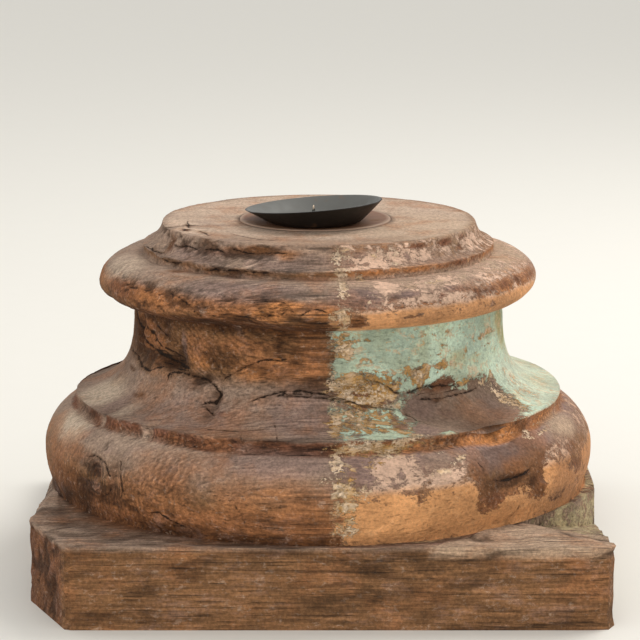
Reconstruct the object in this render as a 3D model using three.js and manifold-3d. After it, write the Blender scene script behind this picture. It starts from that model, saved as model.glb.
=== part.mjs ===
// A column base carved from one block of hardwood, now the stand of a candle dish.
// Millimetres, Z up. The origin is the middle of the underside, -Y is the front, +X the right.
// An azimuth is an angle in degrees from the front towards the right.
import * as THREE from 'three';
import { mergeVertices } from 'three/addons/utils/BufferGeometryUtils.js';
import Module from 'manifold-3d';

// Plinth, the square slab below
const PLINTH_WIDTH = 439;
const PLINTH_HEIGHT = 64;
const PLINTH_CORNER = 7;

// Turned members above the plinth, from the bottom up
const LOWER_TORUS_RADIUS = 220.2;
const LOWER_TORUS_HEIGHT = 66.4;
const LOWER_FILLET_RADIUS = 194.2;
const LOWER_FILLET_HEIGHT = 6.4;
const NECK_RADIUS = 147.2;
const SCOTIA_HEIGHT = 74;
const UPPER_TORUS_RADIUS = 174.6;
const UPPER_TORUS_HEIGHT = 36;
const UPPER_FILLET_RADIUS = 139.5;
const UPPER_FILLET_HEIGHT = 7.4;
const CAVETTO_HEIGHT = 16.7;
const TOP_RADIUS = 125;
const RIM_MARGIN = 20;

// Round wooden disc let into the top face
const DISC_RADIUS = 60;
const DISC_THICKNESS = 14;
const DISC_PROUD = 1;
const DISC_EDGE = 1.2;
const DISC_OFFSET = -2.4;
const FIT_CLEARANCE = 0.3;

// Iron candle dish, whose rim stands higher at the right and the front
const DISH_RADIUS = 54.2;
const DISH_FOOT_RADIUS = 36;
const DISH_HEIGHT = 13.9;
const DISH_WALL = 1.6;
const DISH_RISE_RIGHT = 4.5;
const DISH_RISE_FRONT = 2.7;
const DISH_OFFSET_RIGHT = -1.2;
const DISH_OFFSET_FRONT = 20;

// Spike that holds the candle
const SPIKE_RADIUS = 2.3;
const SPIKE_TIP_RADIUS = 0.5;
const SPIKE_HEIGHT = 11;
const SPIKE_COLLAR = 1.4;

// Depths of the wear, of the split at the front right corner of the plinth, and of its worn left edge
const WEAR_DEPTH = 5;
const SPLIT_DEPTH = 20;
const EDGE_WEAR = 15;

// Number of sides of the round pieces
const TURNED_SIDES = 84;
const DISC_SIDES = 56;
const DISH_SIDES = 48;
const SPIKE_SIDES = 16;

// Levels and places that follow from the sizes
const FILLET_LEVEL = PLINTH_HEIGHT + LOWER_TORUS_HEIGHT;
const SCOTIA_LEVEL = FILLET_LEVEL + LOWER_FILLET_HEIGHT;
const UPPER_TORUS_LEVEL = SCOTIA_LEVEL + SCOTIA_HEIGHT;
const UPPER_FILLET_LEVEL = UPPER_TORUS_LEVEL + UPPER_TORUS_HEIGHT;
const CAVETTO_LEVEL = UPPER_FILLET_LEVEL + UPPER_FILLET_HEIGHT;
const TOP_LEVEL = CAVETTO_LEVEL + CAVETTO_HEIGHT;
const TURNED_HEIGHT = TOP_LEVEL - PLINTH_HEIGHT;
const DISC_TOP = TOP_LEVEL + DISC_PROUD;
const DISH_UNDERSIDE = DISC_TOP + FIT_CLEARANCE;

const { degToRad, smoothstep } = THREE.MathUtils;
const wasm = await Module();
wasm.setup();

// Solids and booleans

function toSolid(geometry) {
  const bare = geometry.clone();
  bare.deleteAttribute('normal');
  bare.deleteAttribute('uv');
  const merged = mergeVertices(bare);
  return new wasm.Manifold(new wasm.Mesh({
    numProp: 3,
    vertProperties: merged.attributes.position.array,
    triVerts: Uint32Array.from(merged.index.array),
  }));
}

function toGeometry(solid) {
  const mesh = solid.getMesh();
  const geometry = new THREE.BufferGeometry();
  geometry.setAttribute('position', new THREE.BufferAttribute(mesh.vertProperties, 3));
  geometry.setIndex(new THREE.BufferAttribute(mesh.triVerts, 1));
  geometry.computeVertexNormals();
  return geometry;
}

// Moves every vertex of a geometry to the place that a function gives for it
function reshape(geometry, place) {
  const positions = geometry.attributes.position;
  const vertex = new THREE.Vector3();
  for (let i = 0; i < positions.count; i += 1) {
    vertex.fromBufferAttribute(positions, i);
    place(vertex, i);
    positions.setXYZ(i, vertex.x, vertex.y, vertex.z);
  }
  return geometry;
}

// Turns a profile about the Z axis, with its first column of vertices at the front
function turned(profile, sides) {
  return new THREE.LatheGeometry(profile, sides).rotateX(Math.PI / 2);
}

// Profile of the turned part

// Points of a superellipse arc about a centre, between two angles
function torusArc(centre, reach, rise, power, from, to, steps) {
  const points = [];
  for (let i = 0; i <= steps; i += 1) {
    const angle = degToRad(from + (to - from) * i / steps);
    const across = Math.abs(Math.cos(angle)) ** (2 / power);
    const up = Math.sign(Math.sin(angle)) * Math.abs(Math.sin(angle)) ** (2 / power);
    points.push(new THREE.Vector2(centre.x + reach * across, centre.y + rise * up));
  }
  return points;
}

function upperMembers() {
  const edge = 1;
  const rim = new THREE.Vector2(TOP_RADIUS, TOP_LEVEL - edge);
  const cavetto = new THREE.CubicBezierCurve(
    rim,
    new THREE.Vector2(TOP_RADIUS + 2, CAVETTO_LEVEL + CAVETTO_HEIGHT / 2),
    new THREE.Vector2(TOP_RADIUS + 6, CAVETTO_LEVEL + CAVETTO_HEIGHT / 8),
    new THREE.Vector2(UPPER_FILLET_RADIUS - 1, CAVETTO_LEVEL),
  );
  return [
    new THREE.Vector2(0, TOP_LEVEL),
    new THREE.Vector2(TOP_RADIUS - RIM_MARGIN, TOP_LEVEL),
    new THREE.Vector2(TOP_RADIUS - edge, TOP_LEVEL),
    ...cavetto.getPoints(5),
    new THREE.Vector2(UPPER_FILLET_RADIUS, UPPER_FILLET_LEVEL),
  ];
}

function upperTorus() {
  const reach = 0.795 * UPPER_TORUS_HEIGHT;
  const crown = 0.36 * UPPER_TORUS_HEIGHT;
  const centre = new THREE.Vector2(UPPER_TORUS_RADIUS - reach, UPPER_TORUS_LEVEL + crown);
  return [
    ...torusArc(centre, reach, UPPER_TORUS_HEIGHT - crown, 1.95, 88, 0, 7),
    ...torusArc(centre, reach, crown, 1.9, 0, -84, 5).slice(1),
  ];
}

function scotia() {
  const sweep = LOWER_FILLET_RADIUS - NECK_RADIUS;
  const curve = new THREE.CubicBezierCurve(
    new THREE.Vector2(NECK_RADIUS, UPPER_TORUS_LEVEL - 1),
    new THREE.Vector2(NECK_RADIUS - 0.04 * sweep, SCOTIA_LEVEL + 0.38 * SCOTIA_HEIGHT),
    new THREE.Vector2(NECK_RADIUS + 0.13 * sweep, SCOTIA_LEVEL + 0.07 * SCOTIA_HEIGHT),
    new THREE.Vector2(LOWER_FILLET_RADIUS - 1, SCOTIA_LEVEL),
  );
  return curve.getPoints(9);
}

function lowerTorus() {
  const reach = 0.584 * LOWER_TORUS_HEIGHT;
  const crown = 0.41 * LOWER_TORUS_HEIGHT;
  const tuck = 1.9 * crown;
  const centre = new THREE.Vector2(LOWER_TORUS_RADIUS - reach, PLINTH_HEIGHT + crown);
  const foot = -THREE.MathUtils.radToDeg(Math.asin(crown / tuck));
  return [
    ...torusArc(centre, reach, LOWER_TORUS_HEIGHT - crown, 2, 68, 0, 6),
    ...torusArc(centre, reach, tuck, 2, 0, foot, 3).slice(1),
  ];
}

function turnedProfile() {
  const members = [
    ...upperMembers(),
    ...upperTorus(),
    ...scotia(),
    new THREE.Vector2(LOWER_FILLET_RADIUS, FILLET_LEVEL),
    ...lowerTorus(),
  ];
  const foot = members[members.length - 1].x;
  const sunk = PLINTH_HEIGHT / 2;
  return [...members, new THREE.Vector2(foot - PLINTH_CORNER, sunk), new THREE.Vector2(0, sunk)];
}

// Wear and damage of the turned part. A place is an azimuth and a share of the turned height,
// a spread is a share of the turned height, and a depth is a share of the wear depth.

// Rounded hollows: weathered grooves, the hollow round a knot, and worn mouldings
const hollows = [
  { name: 'left neck groove', azimuth: -70, at: 0.62, across: 0.035, up: 0.12, depth: 0.8 },
  { name: 'right neck groove', azimuth: -61, at: 0.62, across: 0.03, up: 0.08, depth: 0.7 },
  { name: 'shadowed crack', azimuth: -70, at: 0.53, across: 0.10, up: 0.03, depth: 0.8 },
  { name: 'black crack', azimuth: -49, at: 0.55, across: 0.09, up: 0.03, depth: 1.3 },
  { name: 'black crack, lower', azimuth: -36, at: 0.505, across: 0.08, up: 0.025, depth: 1.1 },
  { name: 'black crack, end', azimuth: -29.5, at: 0.44, across: 0.02, up: 0.05, depth: 1 },
  { name: 'middle crack', azimuth: 4, at: 0.485, across: 0.14, up: 0.02, depth: 0.8 },
  { name: 'knot', azimuth: -53, at: 0.16, across: 0.10, up: 0.09, depth: 1 },
  { name: 'groove beside the knot', azimuth: -45, at: 0.18, across: 0.025, up: 0.10, depth: 0.7 },
  { name: 'worn rim at the left', azimuth: -80, at: 0.985, across: 0.24, up: 0.04, depth: 0.35 },
  { name: 'worn cavetto', azimuth: -64, at: 0.93, across: 0.07, up: 0.05, depth: 0.8 },
  { name: 'worn roll top', azimuth: -104, at: 0.87, across: 0.34, up: 0.05, depth: 0.3 },
  { name: 'worn roll underside', azimuth: 86, at: 0.73, across: 0.26, up: 0.05, depth: 1.1 },
  { name: 'flaked underside', azimuth: -22, at: 0.735, across: 0.15, up: 0.03, depth: 0.8 },
  { name: 'worn lip', azimuth: -114, at: 0.345, across: 0.34, up: 0.035, depth: 0.8 },
  { name: 'worn fillet at the left', azimuth: -70, at: 0.33, across: 0.12, up: 0.03, depth: 0.5 },
  { name: 'gap in the lower fillet', azimuth: -59, at: 0.335, across: 0.02, up: 0.03, depth: 0.8 },
  { name: 'next gap in the fillet', azimuth: -41, at: 0.335, across: 0.02, up: 0.03, depth: 0.7 },
  { name: 'lip broken at the right', azimuth: 42, at: 0.333, across: 0.10, up: 0.03, depth: 1.1 },
  { name: 'dent in the back', azimuth: 160, at: 0.30, across: 0.14, up: 0.08, depth: 0.7 },
];

// Flat-bottomed beds, where a layer of the wood has split off
const beds = [
  { name: 'split on the scotia', azimuth: 44, at: 0.42, across: 0.28, up: 0.075, depth: 0.7 },
  { name: 'split on the lower torus', azimuth: 45, at: 0.21, across: 0.21, up: 0.11, depth: 0.7 },
];

// Lumps of harder wood that stand out beside the cracks
const lumps = [
  { name: 'curled scar', azimuth: -40, at: 0.45, across: 0.10, up: 0.045, depth: -0.4 },
  { name: 'edge of the middle crack', azimuth: -6, at: 0.51, across: 0.14, up: 0.02, depth: -0.3 },
];

function offsetFrom(form, azimuth, radius, level) {
  const turn = THREE.MathUtils.euclideanModulo(azimuth - form.azimuth + 180, 360) - 180;
  const across = degToRad(turn) * radius / (form.across * TURNED_HEIGHT);
  const up = (level - PLINTH_HEIGHT - form.at * TURNED_HEIGHT) / (form.up * TURNED_HEIGHT);
  return Math.hypot(across, up);
}

function wearDepth(azimuth, radius, level) {
  let depth = 0;
  for (const form of [...hollows, ...lumps]) {
    const offset = offsetFrom(form, azimuth, radius, level);
    depth += form.depth * Math.exp(-offset * offset);
  }
  for (const bed of beds) {
    const offset = offsetFrom(bed, azimuth, radius, level);
    depth += bed.depth * (1 - smoothstep(offset, 0.8, 1.15));
  }
  return depth * WEAR_DEPTH;
}

// Outward normal of the profile at each of its points, across and up
function profileNormals(profile) {
  return profile.map((point, i) => {
    const before = profile[Math.max(i - 1, 0)];
    const after = profile[Math.min(i + 1, profile.length - 1)];
    const along = after.clone().sub(before).normalize();
    return new THREE.Vector2(-along.y, along.x);
  });
}

function turnedPart() {
  const profile = turnedProfile();
  const normals = profileNormals(profile);
  const upward = [...profile].reverse();
  const geometry = turned(upward, TURNED_SIDES);
  return reshape(geometry, (vertex, i) => {
    const normal = normals[profile.length - 1 - (i % profile.length)];
    const radius = Math.hypot(vertex.x, vertex.y);
    const onTopFace = vertex.z > CAVETTO_LEVEL && radius < TOP_RADIUS - RIM_MARGIN / 2;
    if (onTopFace || vertex.z < PLINTH_HEIGHT) return;
    const azimuth = THREE.MathUtils.radToDeg(Math.atan2(vertex.x, -vertex.y));
    const depth = wearDepth(azimuth, radius, vertex.z);
    const scale = (radius - depth * normal.x) / radius;
    vertex.set(vertex.x * scale, vertex.y * scale, vertex.z - depth * normal.y);
  });
}

// Plinth

function plinthBlock() {
  const half = PLINTH_WIDTH / 2;
  const cut = half - PLINTH_CORNER;
  const outline = new THREE.Shape([
    new THREE.Vector2(-cut, -half), new THREE.Vector2(cut, -half),
    new THREE.Vector2(half, -cut), new THREE.Vector2(half, cut),
    new THREE.Vector2(cut, half), new THREE.Vector2(-cut, half),
    new THREE.Vector2(-half, cut), new THREE.Vector2(-half, -cut),
  ]);
  return new THREE.ExtrudeGeometry(outline, { depth: PLINTH_HEIGHT, bevelEnabled: false });
}

// Point on the plan where two upright planes meet, each an azimuth and a distance from the axis
function meet(a, b) {
  const [sa, ca] = [Math.sin(degToRad(a.azimuth)), -Math.cos(degToRad(a.azimuth))];
  const [sb, cb] = [Math.sin(degToRad(b.azimuth)), -Math.cos(degToRad(b.azimuth))];
  const spread = sa * cb - sb * ca;
  return new THREE.Vector2(
    (a.distance * cb - b.distance * ca) / spread,
    (b.distance * sa - a.distance * sb) / spread,
  );
}

// Upper left edge, worn to a slope that fades out towards the front
function wornLeftEdge() {
  const half = PLINTH_WIDTH / 2;
  const over = PLINTH_CORNER / 4;
  const stations = [
    { y: -0.68 * half, leg: 0 },
    { y: -0.1 * half, leg: EDGE_WEAR },
    { y: half + over, leg: EDGE_WEAR },
  ];
  const section = new THREE.Shape([
    new THREE.Vector2(0, 0), new THREE.Vector2(1, 0), new THREE.Vector2(0, 1),
  ]);
  const last = stations.length - 1;
  const wedge = new THREE.ExtrudeGeometry(section, { depth: 1, steps: last, bevelEnabled: false });
  return reshape(wedge, (vertex) => {
    const { y, leg } = stations[Math.round(last * vertex.z)];
    const side = leg + 2 * over;
    vertex.set(vertex.x * side - half - over, y, PLINTH_HEIGHT + over - vertex.y * side);
  });
}

// Chunk lost from the front left corner, over the whole height of the plinth
function lostLeftCorner() {
  const half = PLINTH_WIDTH / 2;
  const face = { azimuth: -66, distance: 1.182 * half };
  const side = meet(face, { azimuth: -90, distance: half * 1.2 });
  const front = meet(face, { azimuth: 0, distance: half * 1.2 });
  const outside = new THREE.Vector2(-1.2 * half, -1.2 * half);
  const outline = new THREE.Shape([side, outside, front]);
  const overlap = PLINTH_CORNER;
  const depth = PLINTH_HEIGHT + 2 * overlap;
  return new THREE.ExtrudeGeometry(outline, { depth, bevelEnabled: false })
    .translate(0, 0, -overlap);
}

// Layer split off the front right corner, down to a bed that rises towards the front
function lostRightLayer() {
  const half = PLINTH_WIDTH / 2;
  const sideFace = { azimuth: 66, distance: 0.997 * half };
  const frontFace = { azimuth: 48, distance: 0.955 * half };
  const right = meet(sideFace, { azimuth: 90, distance: half * 1.1 });
  const middle = meet(sideFace, frontFace);
  const front = meet(frontFace, { azimuth: 0, distance: half * 1.1 });
  const outside = new THREE.Vector2(1.1 * half, -1.1 * half);
  const outline = new THREE.Shape([right, middle, front, outside]);
  const above = PLINTH_CORNER / 4;
  const layer = new THREE.ExtrudeGeometry(outline, { depth: above, bevelEnabled: false });
  return reshape(layer, (vertex) => {
    const towardsFront = THREE.MathUtils.clamp(-vertex.y / half, -1, 1);
    const bed = (1 - towardsFront) * 1.9 * SPLIT_DEPTH;
    vertex.z = PLINTH_HEIGHT + (vertex.z > 0 ? above : -bed);
  });
}

// The seat for the disc, cut into the top face
function discSeat() {
  const radius = DISC_RADIUS + FIT_CLEARANCE;
  const floor = DISC_TOP - DISC_THICKNESS - FIT_CLEARANCE;
  const profile = [
    new THREE.Vector2(0, floor),
    new THREE.Vector2(radius, floor),
    new THREE.Vector2(radius, DISC_TOP + DISC_THICKNESS),
    new THREE.Vector2(0, DISC_TOP + DISC_THICKNESS),
  ];
  return turned(profile, DISC_SIDES).translate(DISC_OFFSET, 0, 0);
}

function columnBase() {
  const slab = toSolid(plinthBlock()).subtract(toSolid(wornLeftEdge()));
  const wood = toSolid(turnedPart()).add(slab);
  const lost = [lostLeftCorner(), lostRightLayer(), discSeat()];
  return toGeometry(lost.reduce((solid, chunk) => solid.subtract(toSolid(chunk)), wood));
}

// Disc, dish and spike

function seatDisc() {
  const edge = Math.min(DISC_EDGE, DISC_THICKNESS / 2);
  const profile = [
    new THREE.Vector2(0, DISC_TOP - DISC_THICKNESS),
    new THREE.Vector2(DISC_RADIUS, DISC_TOP - DISC_THICKNESS),
    new THREE.Vector2(DISC_RADIUS, DISC_TOP - edge),
    new THREE.Vector2(DISC_RADIUS - 0.3 * edge, DISC_TOP - 0.3 * edge),
    new THREE.Vector2(DISC_RADIUS - edge, DISC_TOP),
    new THREE.Vector2(0, DISC_TOP),
  ];
  return turned(profile, DISC_SIDES).translate(DISC_OFFSET, 0, 0);
}

// Leans the wall of the dish, so that its rim rises to the right and the front over a level foot
function leanRim(geometry) {
  const rightRise = Math.tan(degToRad(DISH_RISE_RIGHT));
  const frontRise = Math.tan(degToRad(DISH_RISE_FRONT));
  return reshape(geometry, (vertex) => {
    const share = Math.max(0, (vertex.z - DISH_WALL) / (DISH_HEIGHT - DISH_WALL));
    vertex.z += share * (vertex.x * rightRise - vertex.y * frontRise);
  });
}

function candleDish() {
  const slope = new THREE.Vector2(DISH_RADIUS - DISH_FOOT_RADIUS, DISH_HEIGHT).normalize();
  const inset = DISH_WALL / slope.y;
  const turn = 3 * DISH_WALL;
  const outer = new THREE.QuadraticBezierCurve(
    new THREE.Vector2(DISH_FOOT_RADIUS - turn, 0),
    new THREE.Vector2(DISH_FOOT_RADIUS, 0),
    new THREE.Vector2(DISH_FOOT_RADIUS + slope.x * turn, slope.y * turn),
  );
  const innerFoot = DISH_FOOT_RADIUS - inset + DISH_WALL * slope.x / slope.y;
  const inner = new THREE.QuadraticBezierCurve(
    new THREE.Vector2(innerFoot + slope.x * turn, DISH_WALL + slope.y * turn),
    new THREE.Vector2(innerFoot, DISH_WALL),
    new THREE.Vector2(innerFoot - turn, DISH_WALL),
  );
  const profile = [
    new THREE.Vector2(0, 0),
    ...outer.getPoints(4),
    new THREE.Vector2(DISH_RADIUS, DISH_HEIGHT),
    new THREE.Vector2(DISH_RADIUS - inset, DISH_HEIGHT),
    ...inner.getPoints(4),
    new THREE.Vector2(Math.min(2 * (SPIKE_RADIUS + SPIKE_COLLAR), innerFoot / 2), DISH_WALL),
    new THREE.Vector2(0, DISH_WALL),
  ];
  return leanRim(turned(profile, DISH_SIDES));
}

function candleSpike() {
  const profile = [
    new THREE.Vector2(0, 0),
    new THREE.Vector2(SPIKE_RADIUS + SPIKE_COLLAR, 0),
    new THREE.Vector2(SPIKE_RADIUS + SPIKE_COLLAR, SPIKE_COLLAR / 2),
    new THREE.Vector2(SPIKE_RADIUS, SPIKE_COLLAR),
    new THREE.Vector2(SPIKE_TIP_RADIUS, SPIKE_HEIGHT - SPIKE_TIP_RADIUS),
    new THREE.Vector2(0, SPIKE_HEIGHT),
  ];
  return turned(profile, SPIKE_SIDES);
}

// Materials

const woodFinish = new THREE.MeshStandardMaterial({ color: 0x7a5a42, roughness: 0.85, metalness: 0 });
const discFinish = new THREE.MeshStandardMaterial({ color: 0x8d6a52, roughness: 0.75, metalness: 0 });
const ironFinish = new THREE.MeshStandardMaterial({ color: 0x1d1b19, roughness: 0.5, metalness: 0.6 });
const steelFinish = new THREE.MeshStandardMaterial({ color: 0x8a8884, roughness: 0.35, metalness: 1 });

// The scene graph

function piece(name, geometry, material) {
  const mesh = new THREE.Mesh(geometry, material);
  mesh.name = name;
  return mesh;
}

const base = piece('column_base', columnBase(), woodFinish);
const disc = piece('seat_disc', seatDisc(), discFinish);
const dish = piece('candle_dish', candleDish(), ironFinish);
const spike = piece('candle_spike', candleSpike(), steelFinish);
spike.position.set(0, 0, DISH_WALL + FIT_CLEARANCE);

const candleHolder = new THREE.Group();
candleHolder.position.set(DISC_OFFSET + DISH_OFFSET_RIGHT, -DISH_OFFSET_FRONT, DISH_UNDERSIDE);
candleHolder.add(dish, spike);

const part = new THREE.Group();
part.add(base, disc, candleHolder);

export default part;
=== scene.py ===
# The finished look of a weathered column base with a candle dish. Metres, in the frame of the part.
import math

import bpy
import numpy as np
from bpy.props import FloatProperty, FloatVectorProperty, PointerProperty
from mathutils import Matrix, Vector


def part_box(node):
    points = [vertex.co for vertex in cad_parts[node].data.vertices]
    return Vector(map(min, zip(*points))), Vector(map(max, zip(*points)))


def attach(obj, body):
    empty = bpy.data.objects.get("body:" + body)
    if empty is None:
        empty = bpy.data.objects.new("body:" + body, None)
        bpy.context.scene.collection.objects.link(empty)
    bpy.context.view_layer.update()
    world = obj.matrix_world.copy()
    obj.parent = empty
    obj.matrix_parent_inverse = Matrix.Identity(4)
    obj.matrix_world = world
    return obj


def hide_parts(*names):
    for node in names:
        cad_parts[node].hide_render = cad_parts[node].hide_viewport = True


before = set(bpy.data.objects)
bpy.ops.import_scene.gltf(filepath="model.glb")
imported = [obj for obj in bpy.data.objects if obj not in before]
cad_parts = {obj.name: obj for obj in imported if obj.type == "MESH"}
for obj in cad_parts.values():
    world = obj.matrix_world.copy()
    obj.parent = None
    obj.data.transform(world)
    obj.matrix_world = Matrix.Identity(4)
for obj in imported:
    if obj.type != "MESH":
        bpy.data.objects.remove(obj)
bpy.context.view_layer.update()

bl_info = {
    "name": "Weathered Column Base",
    "version": (1, 0, 0),
    "blender": (4, 5, 0),
    "location": "View3D > Sidebar > Column Base",
    "description": "Builds a weathered wooden column base with a let-in disc, an iron dish and its spike",
    "category": "Add Mesh",
}

BASE_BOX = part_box("column_base")
DISC_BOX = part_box("seat_disc")
DISH_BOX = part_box("candle_dish")
SPIKE_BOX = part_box("candle_spike")
MM = 0.001


def tone(code):
    """Linear colour of a six-digit display colour."""
    parts = [int(code[i:i + 2], 16) / 255 for i in (0, 2, 4)]
    return tuple(c / 12.92 if c <= 0.04045 else ((c + 0.055) / 1.055) ** 2.4 for c in parts)


def length(name, text, default):
    return FloatProperty(name=name, description=text, default=default, min=0, unit="LENGTH", precision=4)


def colour(name, text, code):
    return FloatVectorProperty(
        name=name, description=text, default=tone(code), size=3, min=0, max=1, subtype="COLOR")


# Sizes and colours


class BaseSizes(bpy.types.PropertyGroup):
    """Sizes of the carved base and its wear"""

    top_level: length("Top level", "Height of the flat top face", BASE_BOX[1].z)
    lower_roll_radius: length("Lower roll radius", "Radius of the large roll", BASE_BOX[1].x)
    plinth_height: length("Plinth height", "Height of the square slab", 0.064)
    plinth_width: length("Plinth width", "Side of the square slab", 0.439)
    plinth_corner: length("Plinth corner", "Cut of the worn upright edges", 0.007)
    lower_roll_height: length("Lower roll height", "Height of the large roll", 0.0664)
    lower_fillet_radius: length("Lower fillet radius", "Radius of the lip", 0.1942)
    lower_fillet_height: length("Lower fillet height", "Height of the lip", 0.0064)
    neck_radius: length("Neck radius", "Radius of the narrowest part", 0.1472)
    hollow_height: length("Hollow height", "Height of the hollow member", 0.074)
    upper_roll_radius: length("Upper roll radius", "Radius of the small roll", 0.1746)
    upper_roll_height: length("Upper roll height", "Height of the small roll", 0.036)
    upper_fillet_radius: length("Upper fillet radius", "Radius of the upper step", 0.1395)
    upper_fillet_height: length("Upper fillet height", "Height of the upper step", 0.0074)
    cove_height: length("Cove height", "Height of the cove under the top face", 0.0167)
    top_radius: length("Top radius", "Radius of the top face", 0.125)
    wear: length("Wear", "Depth of the deepest worn places", 0.005)
    split: length("Split", "Depth of the layer lost from the plinth", 0.02)
    edge_wear: length("Edge wear", "Width of the slope along the left edge of the plinth", 0.015)


class HolderSizes(bpy.types.PropertyGroup):
    """Sizes of the disc, the dish and the spike"""

    disc_radius: length("Disc radius", "Radius of the let-in disc", (DISC_BOX[1].x - DISC_BOX[0].x) / 2)
    disc_thickness: length("Disc thickness", "Thickness of the disc", DISC_BOX[1].z - DISC_BOX[0].z)
    disc_edge: length("Disc edge", "Rounding of the upper edge of the disc", 0.0012)
    seat_clearance: length("Seat clearance", "Joint between the disc and its seat", 0.0003)
    dish_radius: length("Dish radius", "Radius of the rim", (DISH_BOX[1].x - DISH_BOX[0].x) / 2)
    dish_foot: length("Dish foot", "Radius of the level foot", 0.036)
    dish_height: length("Dish height", "Height of the rim in the middle", 0.0139)
    dish_wall: length("Dish wall", "Thickness of the sheet iron", 0.0016)
    rise_right: FloatProperty(
        name="Rise to the right", description="Slope of the rim", default=math.radians(4.5), subtype="ANGLE")
    rise_front: FloatProperty(
        name="Rise to the front", description="Slope of the rim", default=math.radians(2.7), subtype="ANGLE")
    spike_radius: length("Spike radius", "Radius of the spike over its collar", 0.0023)
    spike_collar: length("Spike collar", "Width of the collar round the spike", 0.0014)


class Finishes(bpy.types.PropertyGroup):
    """Colours of the wood, its old paint, and the iron"""

    pale: colour("Pale wood", "Sun-bleached wood on the upward faces", "bba28d")
    bleached: colour("Bleached wood", "Silvery wood at the left", "c8b39c")
    beige: colour("Beige wood", "Bleached wood with a trace of paint", "bda288")
    grey: colour("Grey wood", "Weathered wood on the slopes", "9a8270")
    film: colour("Violet film", "Thin grey film over the weathered wood", "8b7269")
    brown: colour("Brown wood", "Sheltered wood", "86603f")
    warm: colour("Warm wood", "Rubbed or freshly bared wood", "a36c44")
    orange: colour("Orange wood", "Bright places of the bared wood", "c6844e")
    rust: colour("Rust brown", "Red-brown wood and stain", "754a33")
    # Dark wood is partly painted shade: it stands for the shade under the rolls and in the hollows as well
    # as for the wood's own darker brown.
    dark: colour("Dark wood", "Wood in the hollows and under the rolls", "543217")
    black: colour("Black wood", "Bottom of the cracks", "20150c")
    turquoise: colour("Turquoise", "Old paint of the hollow member", "c8dcc6")
    green: colour("Olive green", "Stained paint of the hollow member", "b5ac78")
    ochre: colour("Ochre", "Ground coat under the turquoise", "c39558")
    salmon: colour("Salmon", "Old paint of the rolls", "dcb79d")
    peach: colour("Peach", "Old paint under the small roll", "d69b69")
    tan: colour("Tan", "Thin wash on the lower roll", "dc9f69")
    cream: colour("Cream", "Ground coat that shows at the edges of the paint", "ead2b6")
    mauve: colour("Mauve", "Dusty trace of the paint on the rolls", "a98a77")
    iron: colour("Iron", "Blackened outside of the dish", "17130f")
    worn_iron: colour("Worn iron", "Rubbed inside of the dish", "62625e")


class StageSettings(bpy.types.PropertyGroup):
    """Camera, floor and lights"""

    focal: FloatProperty(name="Lens", description="Focal length in millimetres", default=157.5)
    distance: length("Distance", "From the camera to the axis of the base", 2.24)
    pitch: FloatProperty(
        name="Pitch", description="Angle that the camera looks down", default=math.radians(11.45),
        subtype="ANGLE")
    aim_level: length("Aim level", "Height on the axis that the camera aims at", 0.1888)
    shift: FloatProperty(name="Shift", description="Sideways shift of the frame", default=0.0028)
    floor: colour("Floor", "Pale floor", "ebe9e2")


# Profile of the turned part


def member_levels(sizes):
    """Heights of the joints between the members, in metres."""
    lower_fillet = sizes.plinth_height + sizes.lower_roll_height
    hollow = lower_fillet + sizes.lower_fillet_height
    upper_roll = hollow + sizes.hollow_height
    upper_fillet = upper_roll + sizes.upper_roll_height
    cove = upper_fillet + sizes.upper_fillet_height
    return lower_fillet, hollow, upper_roll, upper_fillet, cove


def roll_arc(centre, reach, rise, power, start, end, steps):
    """Points of a superellipse arc, from one angle to another."""
    angles = np.radians(np.linspace(start, end, steps))
    across = np.abs(np.cos(angles)) ** (2 / power)
    up = np.sign(np.sin(angles)) * np.abs(np.sin(angles)) ** (2 / power)
    return [(centre[0] + reach * a, centre[1] + rise * u) for a, u in zip(across, up)]


def smooth_curve(points, steps):
    """Points of a cubic curve through its four control points' hull."""
    a, b, c, d = (np.array(p) for p in points)
    shares = np.linspace(0, 1, steps)[:, None]
    left = 1 - shares
    curve = left ** 3 * a + 3 * left ** 2 * shares * b + 3 * left * shares ** 2 * c + shares ** 3 * d
    return [tuple(p) for p in curve]


def straight(start, end, steps):
    """Evenly spaced points after the start of a line, up to its end."""
    shares = np.linspace(0, 1, steps + 1)[1:, None]
    return [tuple(p) for p in np.array(start) + shares * (np.array(end) - np.array(start))]


def upper_members(sizes, seat):
    """Seat, top face, cove and upper step."""
    *_, upper_fillet, cove = member_levels(sizes)
    top, radius = sizes.top_level, sizes.top_radius
    edge = 1 * MM
    rim = (radius, top - edge)
    points = [(0, seat[1]), (seat[0] * 0.5, seat[1]), seat, (seat[0], top)]
    points += straight((seat[0], top), (radius - 20 * MM, top), 10)
    points += straight((radius - 20 * MM, top), (radius - edge, top), 8)
    points += smooth_curve([
        rim,
        (radius + 2 * MM, cove + sizes.cove_height / 2),
        (radius + 6 * MM, cove + sizes.cove_height / 8),
        (sizes.upper_fillet_radius - edge, cove),
    ], 12)
    points += straight(points[-1], (sizes.upper_fillet_radius, cove - 0.5 * MM), 1)
    points += straight(points[-1], (sizes.upper_fillet_radius, upper_fillet), 4)
    return points


def upper_roll(sizes):
    """Small roll, from the upper step round to the neck."""
    *_, level, _, _ = member_levels(sizes)
    reach = 0.795 * sizes.upper_roll_height
    crown = 0.36 * sizes.upper_roll_height
    centre = (sizes.upper_roll_radius - reach, level + crown)
    upper = roll_arc(centre, reach, sizes.upper_roll_height - crown, 1.95, 88, 0, 24)
    lower = roll_arc(centre, reach, crown, 1.9, 0, -84, 17)
    return upper + lower[1:]


def hollow_member(sizes):
    """Neck and the slope that runs out to the lip."""
    _, level, upper, _, _ = member_levels(sizes)
    sweep = sizes.lower_fillet_radius - sizes.neck_radius
    height = sizes.hollow_height
    return smooth_curve([
        (sizes.neck_radius, upper - 1 * MM),
        (sizes.neck_radius - 0.04 * sweep, level + 0.38 * height),
        (sizes.neck_radius + 0.13 * sweep, level + 0.07 * height),
        (sizes.lower_fillet_radius - 1 * MM, level),
    ], 50)


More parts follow.
